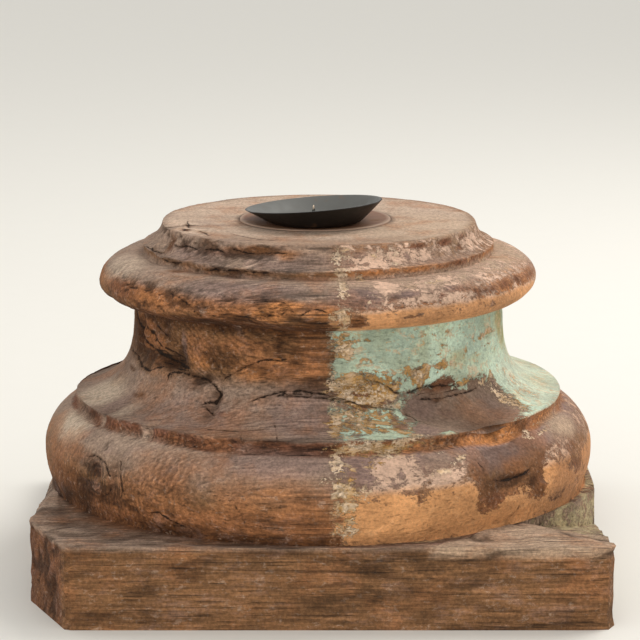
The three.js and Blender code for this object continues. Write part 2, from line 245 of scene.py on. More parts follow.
def lower_roll(sizes):
    """Large roll, from the lip round to the plinth."""
    reach = 0.584 * sizes.lower_roll_height
    crown = 0.41 * sizes.lower_roll_height
    tuck = 1.9 * crown
    centre = (sizes.lower_roll_radius - reach, sizes.plinth_height + crown)
    foot = -math.degrees(math.asin(crown / tuck))
    upper = roll_arc(centre, reach, sizes.lower_roll_height - crown, 2, 68, 0, 29)
    lower = roll_arc(centre, reach, tuck, 2, 0, foot, 13)
    return upper + lower[1:]


# Rings of the plinth: on its top face, how many of them lie inside the split, and on its side

PLINTH_TOP_RINGS = 8
PLINTH_INNER_RINGS = 3
PLINTH_SIDE_RINGS = 11


def plinth_members(sizes, foot):
    """Rings of the plinth, round as yet: its top face, its side and its underside."""
    wide, height = sizes.plinth_width * 0.6, sizes.plinth_height
    points = straight((foot, height), (wide, height), PLINTH_TOP_RINGS)
    points += straight((wide, height), (wide, 0), PLINTH_SIDE_RINGS)
    points += straight((wide, 0), (0, 0), 3)
    return points


def base_profile(sizes, holder):
    """Whole profile from the middle of the seat to the middle of the underside."""
    lower_fillet, *_ = member_levels(sizes)
    seat = (
        holder.disc_radius + holder.seat_clearance,
        DISC_BOX[1].z - holder.disc_thickness - holder.seat_clearance,
    )
    points = upper_members(sizes, seat) + upper_roll(sizes) + hollow_member(sizes)
    points += [(sizes.lower_fillet_radius, member_levels(sizes)[1] - 0.7 * MM)]
    points += straight(points[-1], (sizes.lower_fillet_radius, lower_fillet), 4)
    points += lower_roll(sizes)
    turned = len(points)
    points += plinth_members(sizes, points[-1][0])
    return np.array(points), turned


# Modelling with the operators


def turn_profile(name, profile, start, sections):
    """Turns a profile about the Z axis, in sections of degrees and steps from the start azimuth on."""
    bpy.ops.object.select_all(action="DESELECT")
    bpy.ops.mesh.primitive_plane_add(size=0.01, location=(0, 0, 0))
    piece = bpy.context.object
    piece.name = name
    piece.data.name = name
    bpy.ops.object.mode_set(mode="EDIT")
    bpy.ops.mesh.select_all(action="SELECT")
    bpy.ops.mesh.merge(type="CENTER")
    out = Vector((math.sin(math.radians(start)), -math.cos(math.radians(start)), 0))
    place = Vector((0, 0, 0))
    for i, (radius, height) in enumerate(profile):
        point = out * float(radius) + Vector((0, 0, float(height)))
        if i == 0:
            bpy.ops.transform.translate(value=point - place)
        else:
            bpy.ops.mesh.extrude_region_move(TRANSFORM_OT_translate={"value": point - place})
        place = point
    bpy.ops.mesh.select_all(action="SELECT")
    for degrees, steps in sections:
        bpy.ops.mesh.spin(steps=steps, angle=math.radians(degrees), center=(0, 0, 0), axis=(0, 0, 1))
    bpy.ops.mesh.select_all(action="SELECT")
    bpy.ops.mesh.remove_doubles(threshold=0.00002)
    bpy.ops.mesh.normals_make_consistent(inside=False)
    bpy.ops.object.mode_set(mode="OBJECT")
    return piece


def vertex_places(piece):
    places = np.empty(len(piece.data.vertices) * 3)
    piece.data.vertices.foreach_get("co", places)
    return places.reshape(-1, 3)


def set_places(piece, places):
    piece.data.vertices.foreach_set("co", places.ravel())
    piece.data.update()


def store_colour(piece, name, codes):
    """Stores one colour for each vertex, for the materials to read."""
    field = piece.data.color_attributes.new(name, "FLOAT_COLOR", "POINT")
    field.data.foreach_set("color", np.column_stack([np.clip(codes, 0, 1), np.ones(len(codes))]).ravel())


def store_field(piece, name, values):
    """Stores one number for each vertex, for the materials to read."""
    field = piece.data.attributes.new(name, "FLOAT", "POINT")
    field.data.foreach_set("value", np.asarray(values, float))


def smooth_all(piece, degrees=40):
    bpy.ops.object.select_all(action="DESELECT")
    piece.select_set(True)
    bpy.context.view_layer.objects.active = piece
    bpy.ops.object.shade_smooth_by_angle(angle=math.radians(degrees))


# Random relief, the same on every run

RELIEF_TABLE = np.random.default_rng(7).uniform(-1, 1, 4096)


def relief(points, seed):
    """Smooth random heights from -1 to 1, on a lattice of unit cells."""
    cell = np.floor(points).astype(np.int64)
    part = points - cell
    ease = part * part * (3 - 2 * part)
    total = np.zeros(len(points))
    for corner in np.ndindex(2, 2, 2):
        near = cell + corner
        key = (near[:, 0] * 73856093) ^ (near[:, 1] * 19349663) ^ (near[:, 2] * 83492791)
        weight = np.prod(np.where(corner, ease, 1 - ease), axis=1)
        total += weight * RELIEF_TABLE[(key + seed * 131) % len(RELIEF_TABLE)]
    return total


def rough_relief(points, seed, octaves=3):
    """Sum of reliefs, each half as large and half as high as the one before."""
    total = np.zeros(len(points))
    for octave in range(octaves):
        total += relief(points * 2 ** octave, seed + octave) / 2 ** octave
    return total / 1.6


def ramp(values, low, high):
    """Eased step from 0 at the low end to 1 at the high end."""
    share = np.clip((values - low) / (high - low), 0, 1)
    return share * share * (3 - 2 * share)


# Wear of the base. Azimuths are degrees from the front to the right. A height and a spread are
# shares of the turned height, and a depth is a share of the wear.

HOLLOWS = {
    "left neck groove": (-70, 0.62, 0.035, 0.12, 0.8),
    "right neck groove": (-61, 0.62, 0.03, 0.08, 0.7),
    "shadowed crack": (-70, 0.53, 0.10, 0.03, 0.8),
    "black crack": (-49, 0.55, 0.09, 0.03, 1.3),
    "black crack, lower": (-36, 0.505, 0.08, 0.025, 1.1),
    "black crack, end": (-29.5, 0.44, 0.02, 0.05, 1),
    "middle crack": (4, 0.485, 0.14, 0.02, 0.8),
    "knot": (-53, 0.16, 0.10, 0.09, 1),
    "groove beside the knot": (-45, 0.18, 0.025, 0.10, 0.7),
    "worn rim at the left": (-80, 0.985, 0.24, 0.04, 0.35),
    "worn cavetto": (-64, 0.93, 0.07, 0.05, 0.8),
    "worn roll top": (-104, 0.87, 0.34, 0.05, 0.3),
    "worn roll underside": (86, 0.73, 0.26, 0.05, 1.1),
    "flaked underside": (-22, 0.735, 0.15, 0.03, 0.8),
    "worn lip": (-114, 0.345, 0.34, 0.035, 0.8),
    "worn fillet at the left": (-70, 0.33, 0.12, 0.03, 0.5),
    "gap in the lower fillet": (-59, 0.335, 0.02, 0.03, 0.8),
    "next gap in the fillet": (-41, 0.335, 0.02, 0.03, 0.7),
    "lip broken at the right": (42, 0.333, 0.10, 0.03, 1.1),
    "dent in the back": (160, 0.30, 0.14, 0.08, 0.7),
}
LUMPS = {
    "curled scar": (-40, 0.45, 0.10, 0.045, -0.4),
    "edge of the middle crack": (-6, 0.51, 0.14, 0.02, -0.3),
}
BEDS = {
    "split on the scotia": (44, 0.42, 0.28, 0.075, 0.7),
    "split on the lower torus": (45, 0.21, 0.21, 0.11, 0.7),
}

# Cracks. Each has a width, a height by which its lower side stands out, and a line of azimuths
# and runs. A run is the distance in millimetres from the middle of the top along the profile.

CRACKS = {
    "black crack": (3.6, 0.8, ((-62, 263), (-56, 266), (-50, 269), (-42, 271))),
    "black crack, upper": (2.2, 0.0, ((-58, 258), (-50, 262), (-45, 266))),
    "black crack in the lump": (1.5, 1.4, (
        (-50, 277), (-45, 275), (-40, 276), (-35, 277), (-31, 281), (-29, 286), (-30, 292), (-33, 296),
        (-30, 301), (-28, 305))),
    "neck groove": (2.6, 0.8, ((-80, 240), (-74, 250), (-68, 258), (-61, 263))),
    "second neck groove": (2.0, 0.8, ((-70, 238), (-66, 247), (-60, 254), (-54, 260))),
    "third neck groove": (1.2, 0.8, ((-62, 236), (-58, 244), (-52, 250))),
    "short crack": (1.6, 0.3, ((-49.5, 274), (-49.5, 285))),
    "shadowed crack": (0.9, 0.8, ((-84, 274), (-75, 275), (-66, 280), (-60, 281), (-55, 276), (-50, 273))),
    "rising crack": (0.5, 0.7, ((-30, 276), (-26, 271), (-21, 263), (-17, 258), (-9, 257))),
    "middle crack": (1.2, 1.8, (
        (-20, 291), (-16, 286), (-11, 281), (-5, 280), (0, 281), (5, 284), (10, 290), (15, 294), (20, 297),
        (24, 300))),
    "second line of the middle crack": (0.5, 0.4, ((-12, 284), (-4, 284), (3, 286), (8, 290))),
    "crack in the paint": (1.1, 1.0, ((12, 271), (18, 275), (21, 280), (24, 288))),
    "crack over the split": (1.0, 0.6, ((29, 289), (35, 291), (45, 291), (54, 290))),
    "crack down the split": (0.9, 0.6, ((23, 298), (26, 306), (29, 313))),
    "end of the split": (0.7, 0.4, ((30, 320), (32, 328), (33, 336))),
    "top of the split": (1.5, 0.8, ((24, 286), (28, 284), (33, 281), (40, 283), (46, 285))),
    "edge of the lower split": (1.4, 1.0, ((33, 344), (34, 356), (36, 366), (37, 376))),
    "right edge of the split": (1.0, 0.7, ((52, 345), (53, 358))),
    "end of the lower split": (1.6, 1.0, ((36, 377), (40, 381), (46, 381), (50, 376))),
    "line on the shoulder": (0.4, 0.4, ((-11, 308), (-10, 320), (-9, 333))),
    "second line on the shoulder": (0.5, 0.4, ((-18, 322), (-17, 336), (-15, 346))),
    "scratch on the shoulder": (0.4, 0.3, ((-27, 323), (-20, 321), (-13, 317))),
    "crack on the rim": (1.3, 0.5, ((-84, 104), (-76, 105), (-67, 109))),
    "pit on the rim": (2.6, 0.0, ((-65, 114), (-61, 118))),
    "crack on the top": (1.0, 0.4, ((-58, 108), (-53, 110), (-47, 114))),
    "long check on the top": (0.6, 0.0, ((-45, 96), (-28, 104), (-18, 105))),
    "crack in the cavetto": (1.3, 0.9, ((-60, 135), (-52, 133), (-46, 134))),
    "second crack in the cavetto": (1.0, 1.0, ((-43, 133), (-37, 131), (-33, 134))),
    "split in the cavetto": (0.5, 1.0, ((-31, 130), (-24, 132), (-14, 130), (-5, 133))),
    "lower crack in the cavetto": (1.5, 0.8, ((-78, 147), (-70, 145), (-64, 142))),
    "fillet shadow": (0.8, 0.4, ((-62, 151), (-55, 152), (-48, 150))),
    "second fillet shadow": (1.0, 0.4, ((-38, 152), (-33, 151), (-24, 150), (-14, 150))),
    "split in the small roll": (0.6, 1.3, ((-62, 188), (-56, 192), (-48, 190))),
    "second split in the small roll": (0.6, 1.2, ((-42, 188), (-37, 192), (-33, 198), (-30, 204))),
    "layers in the small roll": (0.6, 1.2, ((-28, 203), (-23, 200), (-16, 202), (-12, 199), (-8, 200))),
    "upper layer in the roll": (0.5, 1.0, ((-17, 191), (-13, 188), (-9, 189), (-7, 193), (-5, 200))),
    "last layer in the roll": (0.5, 0.9, ((-3, 196), (0, 194), (3, 197))),
    "edge of the knot": (1.0, 0.7, ((-57, 373), (-53, 369), (-49, 372), (-46.5, 382))),
    "lower edge of the knot": (1.0, 0.5, ((-46, 390), (-47, 397), (-50, 402))),
    "groove by the knot": (1.2, 0.6, ((-45, 367), (-43.5, 377), (-42, 390), (-43, 398))),
    "crack at the foot": (1.2, 0.6, ((-36, 404), (-33, 402), (-30, 407), (-27, 411))),
    "right crack at the foot": (0.9, 0.6, ((44, 396), (44, 404), (42, 412))),
    "upright crack": (0.5, 0.3, ((-17, 384), (-15, 395), (-14, 406))),
}

# Places where thin layers of the wood lift off: azimuth, run, half width, half height, share

FLAKY = (
    (-52, 197, 48, 13, 1), (-15, 198, 55, 11, 1), (-35, 131, 62, 6, 1.0), (-66, 130, 26, 14, 1.6),
    (-72, 112, 26, 10, 1.3), (-60, 255, 40, 22, 0.9), (-33, 278, 20, 16, 0.6), (14, 278, 20, 16, 0.5),
    (-52, 385, 26, 26, 0.6), (-36, 400, 40, 12, 0.7), (42, 340, 60, 8, 0.7), (44, 392, 26, 14, 0.5),
    (30, 189, 60, 9, 0.5), (40, 129, 60, 6, 0.5), (-40, 151, 60, 4, 0.8),
)

# Marks of the wood, painted one over the other: colour, azimuth, run, half width and half height
# in millimetres, and share

WOOD_MARKS = (
    ("beige", 60, 95, 70, 40, 0.6), ("grey", -5, 110, 70, 16, 0.45), ("grey", -38, 112, 30, 10, 0.3),
    ("brown", -2, 112, 80, 14, 0.35), ("dark", -81.5, 101, 5, 1.2, 0.8),
    ("dark", -72, 107, 8, 1.6, 0.9), ("dark", -62.5, 116, 5, 4, 1), ("brown", -55, 110, 8, 4, 0.6),
    ("dark", 78, 46, 3, 2, 0.9), ("film", -12, 140, 26, 10, 0.5), ("warm", -22, 130, 34, 3, 0.7),
    ("orange", -21, 129, 8, 2, 0.7), ("orange", -11, 132, 8, 4, 0.5), ("rust", -35, 134, 20, 2.5, 0.6),
    ("dark", -63, 135, 6, 6, 0.9), ("dark", -54, 134, 8, 2.4, 0.7), ("dark", -70, 145, 11, 3, 0.4),
    # Painted shadow: the dark marks at run 150.5 to 151 darken the line under the upper fillet.
    ("film", -46, 141, 30, 8, 0.5), ("dark", -44, 150.5, 38, 2, 0.25), ("dark", -21, 151, 18, 2, 0.6),
    ("brown", -6, 151, 14, 2, 0.5), ("brown", 20, 151, 32, 3, 0.4), ("rust", 52, 150, 34, 2.6, 0.8),
    ("orange", 24, 150, 44, 3, 1), ("dark", -34, 156, 14, 5, 0.5), ("rust", -27, 156, 5, 6, 0.5),
    ("dark", -47.5, 162, 6, 3, 0.9), ("warm", -1, 158, 16, 6, 0.5), ("bleached", -72, 176, 34, 16, 0.5),
    ("film", -22, 180, 48, 11, 0.7), ("warm", -46, 196, 30, 8, 0.9), ("orange", -47, 197, 14, 5, 0.4),
    ("rust", -62, 196, 24, 8, 0.7), ("warm", -22, 201, 30, 6, 0.9), ("orange", -9, 192, 14, 4, 0.8),
    ("orange", -13, 201, 16, 5, 0.7), ("orange", 1, 197, 14, 4, 0.7), ("dark", -30, 199, 4, 9, 0.7),
    # Partly painted shade: the long dark band at run 209 darkens the underside of the small roll.
    ("dark", -6, 200, 3, 8, 0.8), ("dark", -35, 209, 90, 3, 0.5), ("warm", -32, 207, 10, 3, 0.5),
    ("dark", 10, 205, 9, 6, 1), ("dark", -1, 204, 14, 4, 0.8), ("mauve", 30, 163, 70, 10, 0.5),
    ("mauve", 22, 138, 50, 9, 0.6), ("dark", -58, 250, 30, 14, 0.6), ("dark", -67, 254, 26, 22, 0.95),
    ("black", -66, 260, 20, 8, 0.5), ("warm", -58, 258, 12, 6, 0.6), ("warm", -38, 254, 16, 12, 0.65),
    ("orange", -37, 264, 10, 5, 0.5), ("warm", -22, 248, 24, 6, 0.7), ("warm", -15, 264, 24, 10, 0.8),
    ("orange", -20, 271, 9, 5, 0.5), ("warm", -1, 258, 10, 18, 0.8), ("dark", -29, 259, 14, 8, 0.7),
    ("dark", -63, 250, 10, 5, 0.8), ("film", -44, 255, 2.5, 12, 0.8), ("dark", -11, 246, 4, 12, 0.8),
    ("dark", -7, 256, 3, 10, 0.7), ("dark", -4, 250, 3, 14, 0.4), ("orange", -12, 262, 4, 8, 0.5),
    ("orange", -5, 270, 6, 4, 0.5), ("dark", -72, 258, 26, 12, 0.8), ("black", -50, 269, 15, 3, 0.8),
    ("dark", -56, 270, 30, 5, 0.7), ("brown", -60, 279, 30, 5, 0.6), ("dark", -72, 285, 8, 2, 0.8),
    ("rust", -40, 283, 14, 5, 0.3), ("warm", -16, 289, 8, 5, 0.4), ("dark", -58, 302, 8, 3, 0.8),
    ("rust", -26, 303, 5, 3, 0.9), ("bleached", -74, 318, 29, 19, 1),
    ("bleached", -54.5, 320, 7, 12, 0.5), ("film", -61, 318, 8, 16, 0.5),
    ("film", -35, 312, 50, 20, 0.45), ("film", -4, 302, 28, 26, 0.6), ("warm", -16, 326, 18, 9, 0.4),
    ("warm", -28, 328, 20, 7, 0.3), ("pale", -42, 334, 5, 14, 0.6), ("dark", -70, 340, 30, 4, 0.35),
    ("rust", -50.5, 340, 20, 3.5, 0.9), ("dark", -51, 342, 20, 2, 0.6), ("rust", -22, 340, 64, 4, 0.9),
    ("dark", -32, 341, 24, 3, 0.5), ("dark", -10, 343, 40, 2, 0.5), ("grey", -15, 340, 3, 6, 0.8),
    ("pale", -59, 340, 4, 5, 0.8), ("pale", -42, 340, 4, 5, 0.8), ("bleached", -69, 357, 30, 13, 1),
    ("film", -10, 354, 46, 12, 0.65), ("pale", -42, 352, 50, 9, 0.5), ("grey", -33, 364, 44, 14, 0.35),
    ("warm", -30, 360, 40, 12, 0.35), ("warm", -33, 384, 28, 18, 0.6), ("warm", -8, 386, 40, 22, 0.45),
    ("orange", -9, 378, 14, 4, 0.35), ("warm", -14, 402, 50, 9, 0.7), ("warm", -3, 396, 14, 20, 0.5),
    ("rust", -70, 384, 24, 12, 0.4), ("rust", -46, 389, 5, 16, 0.4), ("rust", -52, 380, 8, 6, 0.7),
    ("film", -52, 396, 9, 6, 0.7), ("rust", -58, 372, 20, 5, 0.4), ("dark", -53, 404, 18, 5, 0.6),
    ("dark", -35, 396, 6, 4, 0.5), ("dark", -30, 401, 5, 3, 0.6), ("dark", -22, 398, 2, 16, 0.6),
    ("dark", -17, 392, 3, 18, 0.5), ("dark", -3, 388, 2, 20, 0.5), ("dark", -64, 402, 50, 16, 0.9),
    ("brown", -80, 384, 36, 24, 0.5), ("dark", -82, 262, 24, 34, 0.5), ("brown", -76, 300, 12, 8, 0.3),
    # Partly painted shade: the wide black mark at run 414 darkens the underside of the large roll where it
    # meets the plinth.
    ("black", -66, 414, 60, 9, 0.4), ("film", -60, 356, 6, 8, 0.4), ("rust", 36, 129, 12, 2.5, 0.9),
    ("rust", 50, 129.5, 9, 3.5, 1), ("rust", 61, 128, 6, 2, 0.9), ("rust", 64, 131, 5, 2, 0.8),
    ("rust", 57, 136, 4, 2.5, 0.8), ("film", 16, 139, 18, 8, 0.7), ("film", 32, 135, 8, 5, 0.7),
    ("mauve", 45, 144, 50, 4, 0.6), ("film", 11, 184, 22, 11, 0.9), ("film", 24, 185, 11, 4, 0.9),
    ("film", 38, 183, 10, 4, 0.9), ("film", 48, 178, 10, 5, 0.6), ("orange", 60, 186, 60, 9, 0.5),
    ("rust", 34, 189, 6, 3.5, 0.8), ("rust", 45, 189, 6, 3, 0.8), ("rust", 50, 190, 8, 3.5, 0.8),
    ("rust", 57, 189, 7, 3.5, 0.9), ("rust", 64, 190, 8, 4, 0.9), ("rust", 74, 190, 16, 4, 0.6),
    ("orange", 50, 196, 130, 1.6, 0.9), ("film", 19, 199, 4, 5, 0.8), ("dark", 23, 203, 5, 1.6, 0.8),
    ("dark", 37, 201, 4, 2.6, 0.7), ("mauve", 48, 201, 6, 3, 0.7), ("grey", 26, 201, 2, 1.5, 0.8),
    ("warm", 12, 279, 20, 14, 0.6), ("dark", 18, 274, 14, 2.5, 0.5), ("rust", 40, 283, 22, 4, 0.8),
    ("dark", 24.5, 286, 4, 6, 0.8), ("film", 30, 296, 14, 9, 0.6), ("warm", 46, 312, 18, 12, 0.5),
    ("rust", 37, 304, 8, 6, 0.4), ("film", 54, 312, 14, 16, 0.5), ("film", 26, 322, 12, 10, 0.7),
    ("dark", 35.5, 293, 5, 1.6, 0.9), ("brown", 14, 306, 26, 18, 0.5), ("dark", 41, 336, 34, 2.2, 0.9),
    ("orange", 41, 341, 26, 3.4, 1), ("dark", 28.5, 340, 13, 4.5, 0.95),
    ("dark", 53, 340, 14, 4.5, 0.8), ("orange", 16, 341, 36, 3.4, 0.8), ("orange", 63, 341, 24, 4, 0.6),
    ("film", 42, 359, 30, 11, 0.8), ("orange", 47, 342, 18, 4, 1), ("warm", 45, 371, 16, 8, 0.7),
    ("dark", 43, 380, 22, 4, 0.8), ("dark", 36, 390, 12, 10, 0.7), ("rust", 38, 395, 10, 6, 0.6),
    ("dark", 50, 392, 9, 12, 0.8), ("rust", 54, 376, 10, 8, 0.6), ("rust", 34, 372, 6, 12, 0.6),
    ("film", 57, 355, 14, 10, 0.7), ("film", 13, 362, 30, 16, 0.9), ("grey", 27, 354, 18, 8, 0.6),
    ("dark", 58, 406, 22, 5, 0.7), ("dark", 20, 387, 6, 8, 0.8), ("beige", 68, 354, 26, 12, 0.8),
    ("rust", 65, 389, 16, 6, 0.6), ("rust", 63, 372, 18, 9, 0.6), ("warm", 14, 384, 30, 5, 0.6),
)

# Marks of the paint at the right: more of it where the share is above 0, less where it is below.
# The contrast is how many times stronger they act than their shares say.

PAINT_CONTRAST = 1.5
PAINT_MARKS = (
    (8, 138, 9, 11, 0.2), (24, 136, 20, 7, 0.4), (38, 138, 5, 4, 0.4), (48, 133, 12, 3, 0.3),
    (66, 136, 24, 7, 0.15), (12, 146, 14, 2.5, 0.25), (22, 145, 14, 2.5, 0.25), (15, 131, 6, 4, -0.35),
    (31, 136, 5, 4, -0.4), (50, 129.5, 9, 3, -0.6), (36, 129, 12, 2.4, -0.4), (61, 128, 6, 2, -0.5),
    (57, 136, 4, 2.2, -0.5), (45, 145, 44, 3, -0.2), (24, 139, 3, 3, -0.3), (70, 138, 3, 3, -0.3),
    (19, 174, 8, 8, 0.35), (31, 172, 13, 5, 0.45), (39, 171, 6, 3, 0.45), (29, 180, 12, 3, 0.35),
    (10, 184, 18, 9, -0.3), (24, 185, 9, 3.5, -0.5), (38, 183, 9, 3.5, -0.5), (26, 190, 15, 3.5, 0.4),
    (36, 190, 9, 3, 0.3), (42, 190, 6, 3, 0.3), (52, 189, 14, 4, -0.15), (58, 189, 10, 4, -0.5),
    (66, 190, 12, 4, -0.4), (76, 189, 20, 5, -0.4), (34, 189, 5, 3, -0.4), (19, 199, 4, 5, -0.6),
    (23, 203, 5, 1.5, -0.6), (37, 201, 4, 2.6, -0.5), (48, 201, 5, 3, -0.5), (10, 205, 9, 6, -0.9),
    (26, 201, 2, 1.4, -0.5), (6, 197, 12, 3, -0.5), (44, 199, 3, 1.5, -0.4), (52, 203, 4, 1.5, -0.4),
    (31, 199, 2, 1, -0.4), (32, 204, 3, 1, -0.4), (7, 247, 6, 8, -0.5), (31, 270, 7, 5, -0.8),
    (31, 279, 3.5, 5, -0.7), (38, 268, 5, 3, -0.6), (27, 266, 2.5, 4, -0.5), (33, 262, 3, 1.5, -0.4),
    (12, 269, 14, 4, -0.35), (36, 259, 5, 1.2, -0.35), (11, 278, 18, 5, -0.35), (18, 286, 16, 7, -0.4),
    (8, 288, 12, 7, -0.35), (24, 276, 6, 6, -0.3), (12, 298, 8, 4, -0.25), (20, 312, 5, 9, -0.35),
    (14, 306, 3, 14, -0.15), (8, 318, 4, 16, -0.2), (24, 304, 4, 7, -0.5), (70, 305, 20, 26, 0.3),
    (52, 284, 8, 4, -0.4), (16, 328, 14, 6, 0.3), (14, 312, 16, 14, 0.15), (20, 248, 3, 1.5, -0.3),
    (40, 250, 8, 1.5, -0.3), (13, 257, 3, 1.5, -0.3), (14, 262, 2, 1.5, -0.4), (16, 352, 14, 7, 0.3),
    (18, 360, 26, 15, 0.15), (15, 362, 16, 9, 0.2), (18, 372, 14, 4, 0.15), (26, 370, 14, 6, 0.4),
    (27, 354, 16, 7, -0.35), (22, 360, 3, 14, -0.25), (8, 364, 10, 14, -0.3), (20, 387, 6, 8, -0.85),
    (18, 381, 10, 3, -0.35), (12, 385, 3, 5, -0.3), (28, 384, 4, 3, -0.25), (24, 379, 12, 2, -0.3),
    (64, 372, 22, 9, 0.1), (57, 392, 14, 9, 0.1), (70, 355, 20, 12, -0.5), (66, 389, 14, 6, -0.5),
    (58, 406, 22, 5, -0.5), (70, 390, 30, 22, -0.35), (33, 366, 6, 14, -0.5), (31, 347, 8, 3, -0.3),
    (61, 378, 4, 5, -0.4),
)

# Places where the ochre ground under the paint shows, and streaks and flakes of cream

GROUND_MARKS = (
    (14, 279, 26, 12, 0.95), (7, 247, 8, 10, 0.75), (31, 272, 9, 7, 1), (31, 279, 5, 6, 0.9),
    (39, 268, 7, 4, 0.9), (27, 268, 3, 6, 0.7), (49, 283, 7, 3, 0.9), (36, 259, 6, 1.5, 0.6),
    (41, 251, 10, 2, 0.5), (15, 257, 8, 2, 0.4), (55, 262, 24, 2, 0.4), (62, 252, 20, 2.5, 0.5),
    (12, 308, 28, 18, 0.55), (22, 325, 10, 9, 0.4), (61, 300, 6, 18, 0.8), (60, 320, 7, 10, 0.7),
    (54, 288, 8, 5, 0.7), (5, 205, 8, 12, 0.6), (21, 242, 5, 1.5, 0.6), (13, 242, 20, 1.5, 0.4),
    (38, 243, 14, 1.4, 0.4), (14, 341, 40, 4, 0.6), (4, 316, 4, 16, 0.5), (5, 384, 8, 30, 0.6),
    (12, 352, 10, 8, 0.4), (57, 345, 12, 3, 0.5),
)
CREAM_MARKS = (
    (5.5, 137, 3, 10, 0.75), (8, 149, 3, 5, 0.8), (7.5, 158, 2, 6, 0.5), (12.5, 157, 2.5, 8, 0.7),
    (6, 178, 2.5, 8, 0.8), (5, 188, 2.5, 4, 0.8), (13.5, 187, 1.5, 7, 0.7), (6, 198, 7, 5, 0.6),
    (7, 210, 4, 6, 0.6), (5, 225, 3, 14, 0.55), (7, 247, 6, 7, 0.55), (4.8, 262, 2, 10, 0.75),
    (5.5, 276, 4, 5, 0.8), (8.5, 284, 5, 4, 0.9), (13, 289, 8, 3, 0.75), (20, 294, 9, 2.5, 0.8),
    (15, 281, 20, 9, 0.55), (30, 271, 5, 3, 0.9), (31, 278, 3, 4, 0.6), (9, 305, 14, 12, 0.45),
    (12, 316, 2, 10, 0.6), (4.5, 312, 2, 14, 0.4), (18.5, 336, 5, 5, 0.9), (22, 332, 9, 4, 0.7),
    (10, 337, 14, 3, 0.5), (4, 352, 3, 7, 0.7), (5, 361, 2.5, 5, 0.9), (2.5, 366, 2, 5, 0.7),
    (14.5, 347, 8, 3.5, 0.8), (3.5, 380, 5, 36, 0.38), (5.5, 388, 2.5, 14, 0.35), (7, 400, 6, 8, 0.4),
    (6, 408, 6, 5, 0.6), (9, 380, 6, 8, 0.4), (5.5, 165, 3, 22, 0.35), (4, 300, 3, 40, 0.3),
    (61, 303, 4, 14, 0.75), (57, 288, 5, 4, 0.6), (60, 322, 5, 9, 0.6), (31, 356, 5, 2, 0.8),
    (29, 361, 4, 2, 0.8), (27, 349, 5, 1.5, 0.5), (54, 349, 4, 5, 0.6), (59, 351, 5, 2, 0.7),
    (64, 352, 5, 1.6, 0.6), (25, 366, 8, 3, 0.6), (26, 169, 8, 3, 0.4), (33, 173, 8, 3, 0.5),
    (24, 132, 12, 5, 0.5), (9, 131, 5, 5, 0.5), (26, 143, 5, 4, 0.5), (72, 304, 14, 20, 0.25),
    (6.5, 143, 4.5, 24, 0.3), (6.5, 188, 5, 26, 0.3),
)

# Share of the old paint that is left on each member at the right, by run

PAINT_LEFT = {
    0: 0.0, 123: 0.0, 126: 0.36, 140: 0.42, 147: 0.36, 149: 0.1, 153: 0.25, 158: 0.3, 175: 0.36,
    188: 0.42, 195: 0.5, 197: 1.15, 210: 1.2, 240: 1.5, 266: 1.4, 276: 0.95, 284: 0.7, 296: 0.75,
    300: 0.8, 330: 0.8, 335: 0.1, 345: 0.1, 348: 0.4, 374: 0.45, 380: 0.9, 390: 1.4, 408: 1.4,
    425: 0.6,
}

# Strength of the grain, by run

GRAIN_STRENGTH = {
    0: 0.36, 115: 0.36, 126: 0.75, 150: 1.0, 156: 0.62, 180: 0.72, 188: 1.25, 205: 1.2, 212: 0.9,
    240: 1.0, 270: 1.05, 282: 0.7, 333: 0.62, 336: 1.3, 344: 1.3, 348: 0.42, 370: 0.5, 380: 0.95,
    425: 1.0,
}

# Colours of the wood at the left and at the right, and of the paint, by run. The dark stretches from run 210
# to 236 and from 414 to 425 lie under the two rolls and are partly painted shade.

LEFT_WOOD = {
    0: "pale", 118: "pale", 126: "grey", 148: "grey", 151: "brown", 155: "grey", 184: "grey",
    192: "warm", 202: "brown", 210: "dark", 236: "dark", 244: "brown", 270: "brown", 282: "grey",
    333: "grey", 336: "rust", 344: "rust", 347: "grey", 362: "grey", 390: "brown", 404: "warm",
    414: "dark", 425: "dark",
}
RIGHT_WOOD = {
    0: "pale", 118: "pale", 126: "brown", 146: "brown", 150: "orange", 153: "beige", 176: "beige",
    184: "mauve", 195: "warm", 198: "orange", 212: "brown", 236: "brown", 270: "brown", 290: "grey",
    333: "grey", 336: "warm", 344: "warm", 347: "film", 374: "brown", 404: "warm", 414: "dark",
    425: "dark",
}
PAINT_COLOURS = {
    0: "salmon", 147: "salmon", 150: "peach", 154: "salmon", 194: "salmon", 198: "peach", 214: "peach",
    234: "turquoise", 334: "turquoise", 337: "peach", 345: "peach", 348: "salmon", 374: "salmon",
    381: "tan", 425: "tan",
}


# Azimuths over which the two halves fade into each other at the back, and over which the paint
# starts at the front and ends at the back. Middle of the broken corner of the plinth.

BACK_FADE = (145, 172)
PAINT_START = (3.2, 5.6)
PAINT_END = (150, 172)
BREAK_AZIMUTH = -62

# Runs of the joints where the looks change: neck, lip and large roll

HOLLOW_START = (232, 238)
HOLLOW_END = (333, 337)
LOW_ROLL_RUN = 342

# Rings of the seat, and how many vertices are matched to their rings at a time

SEAT_RINGS = 4
RING_BATCH = 8000


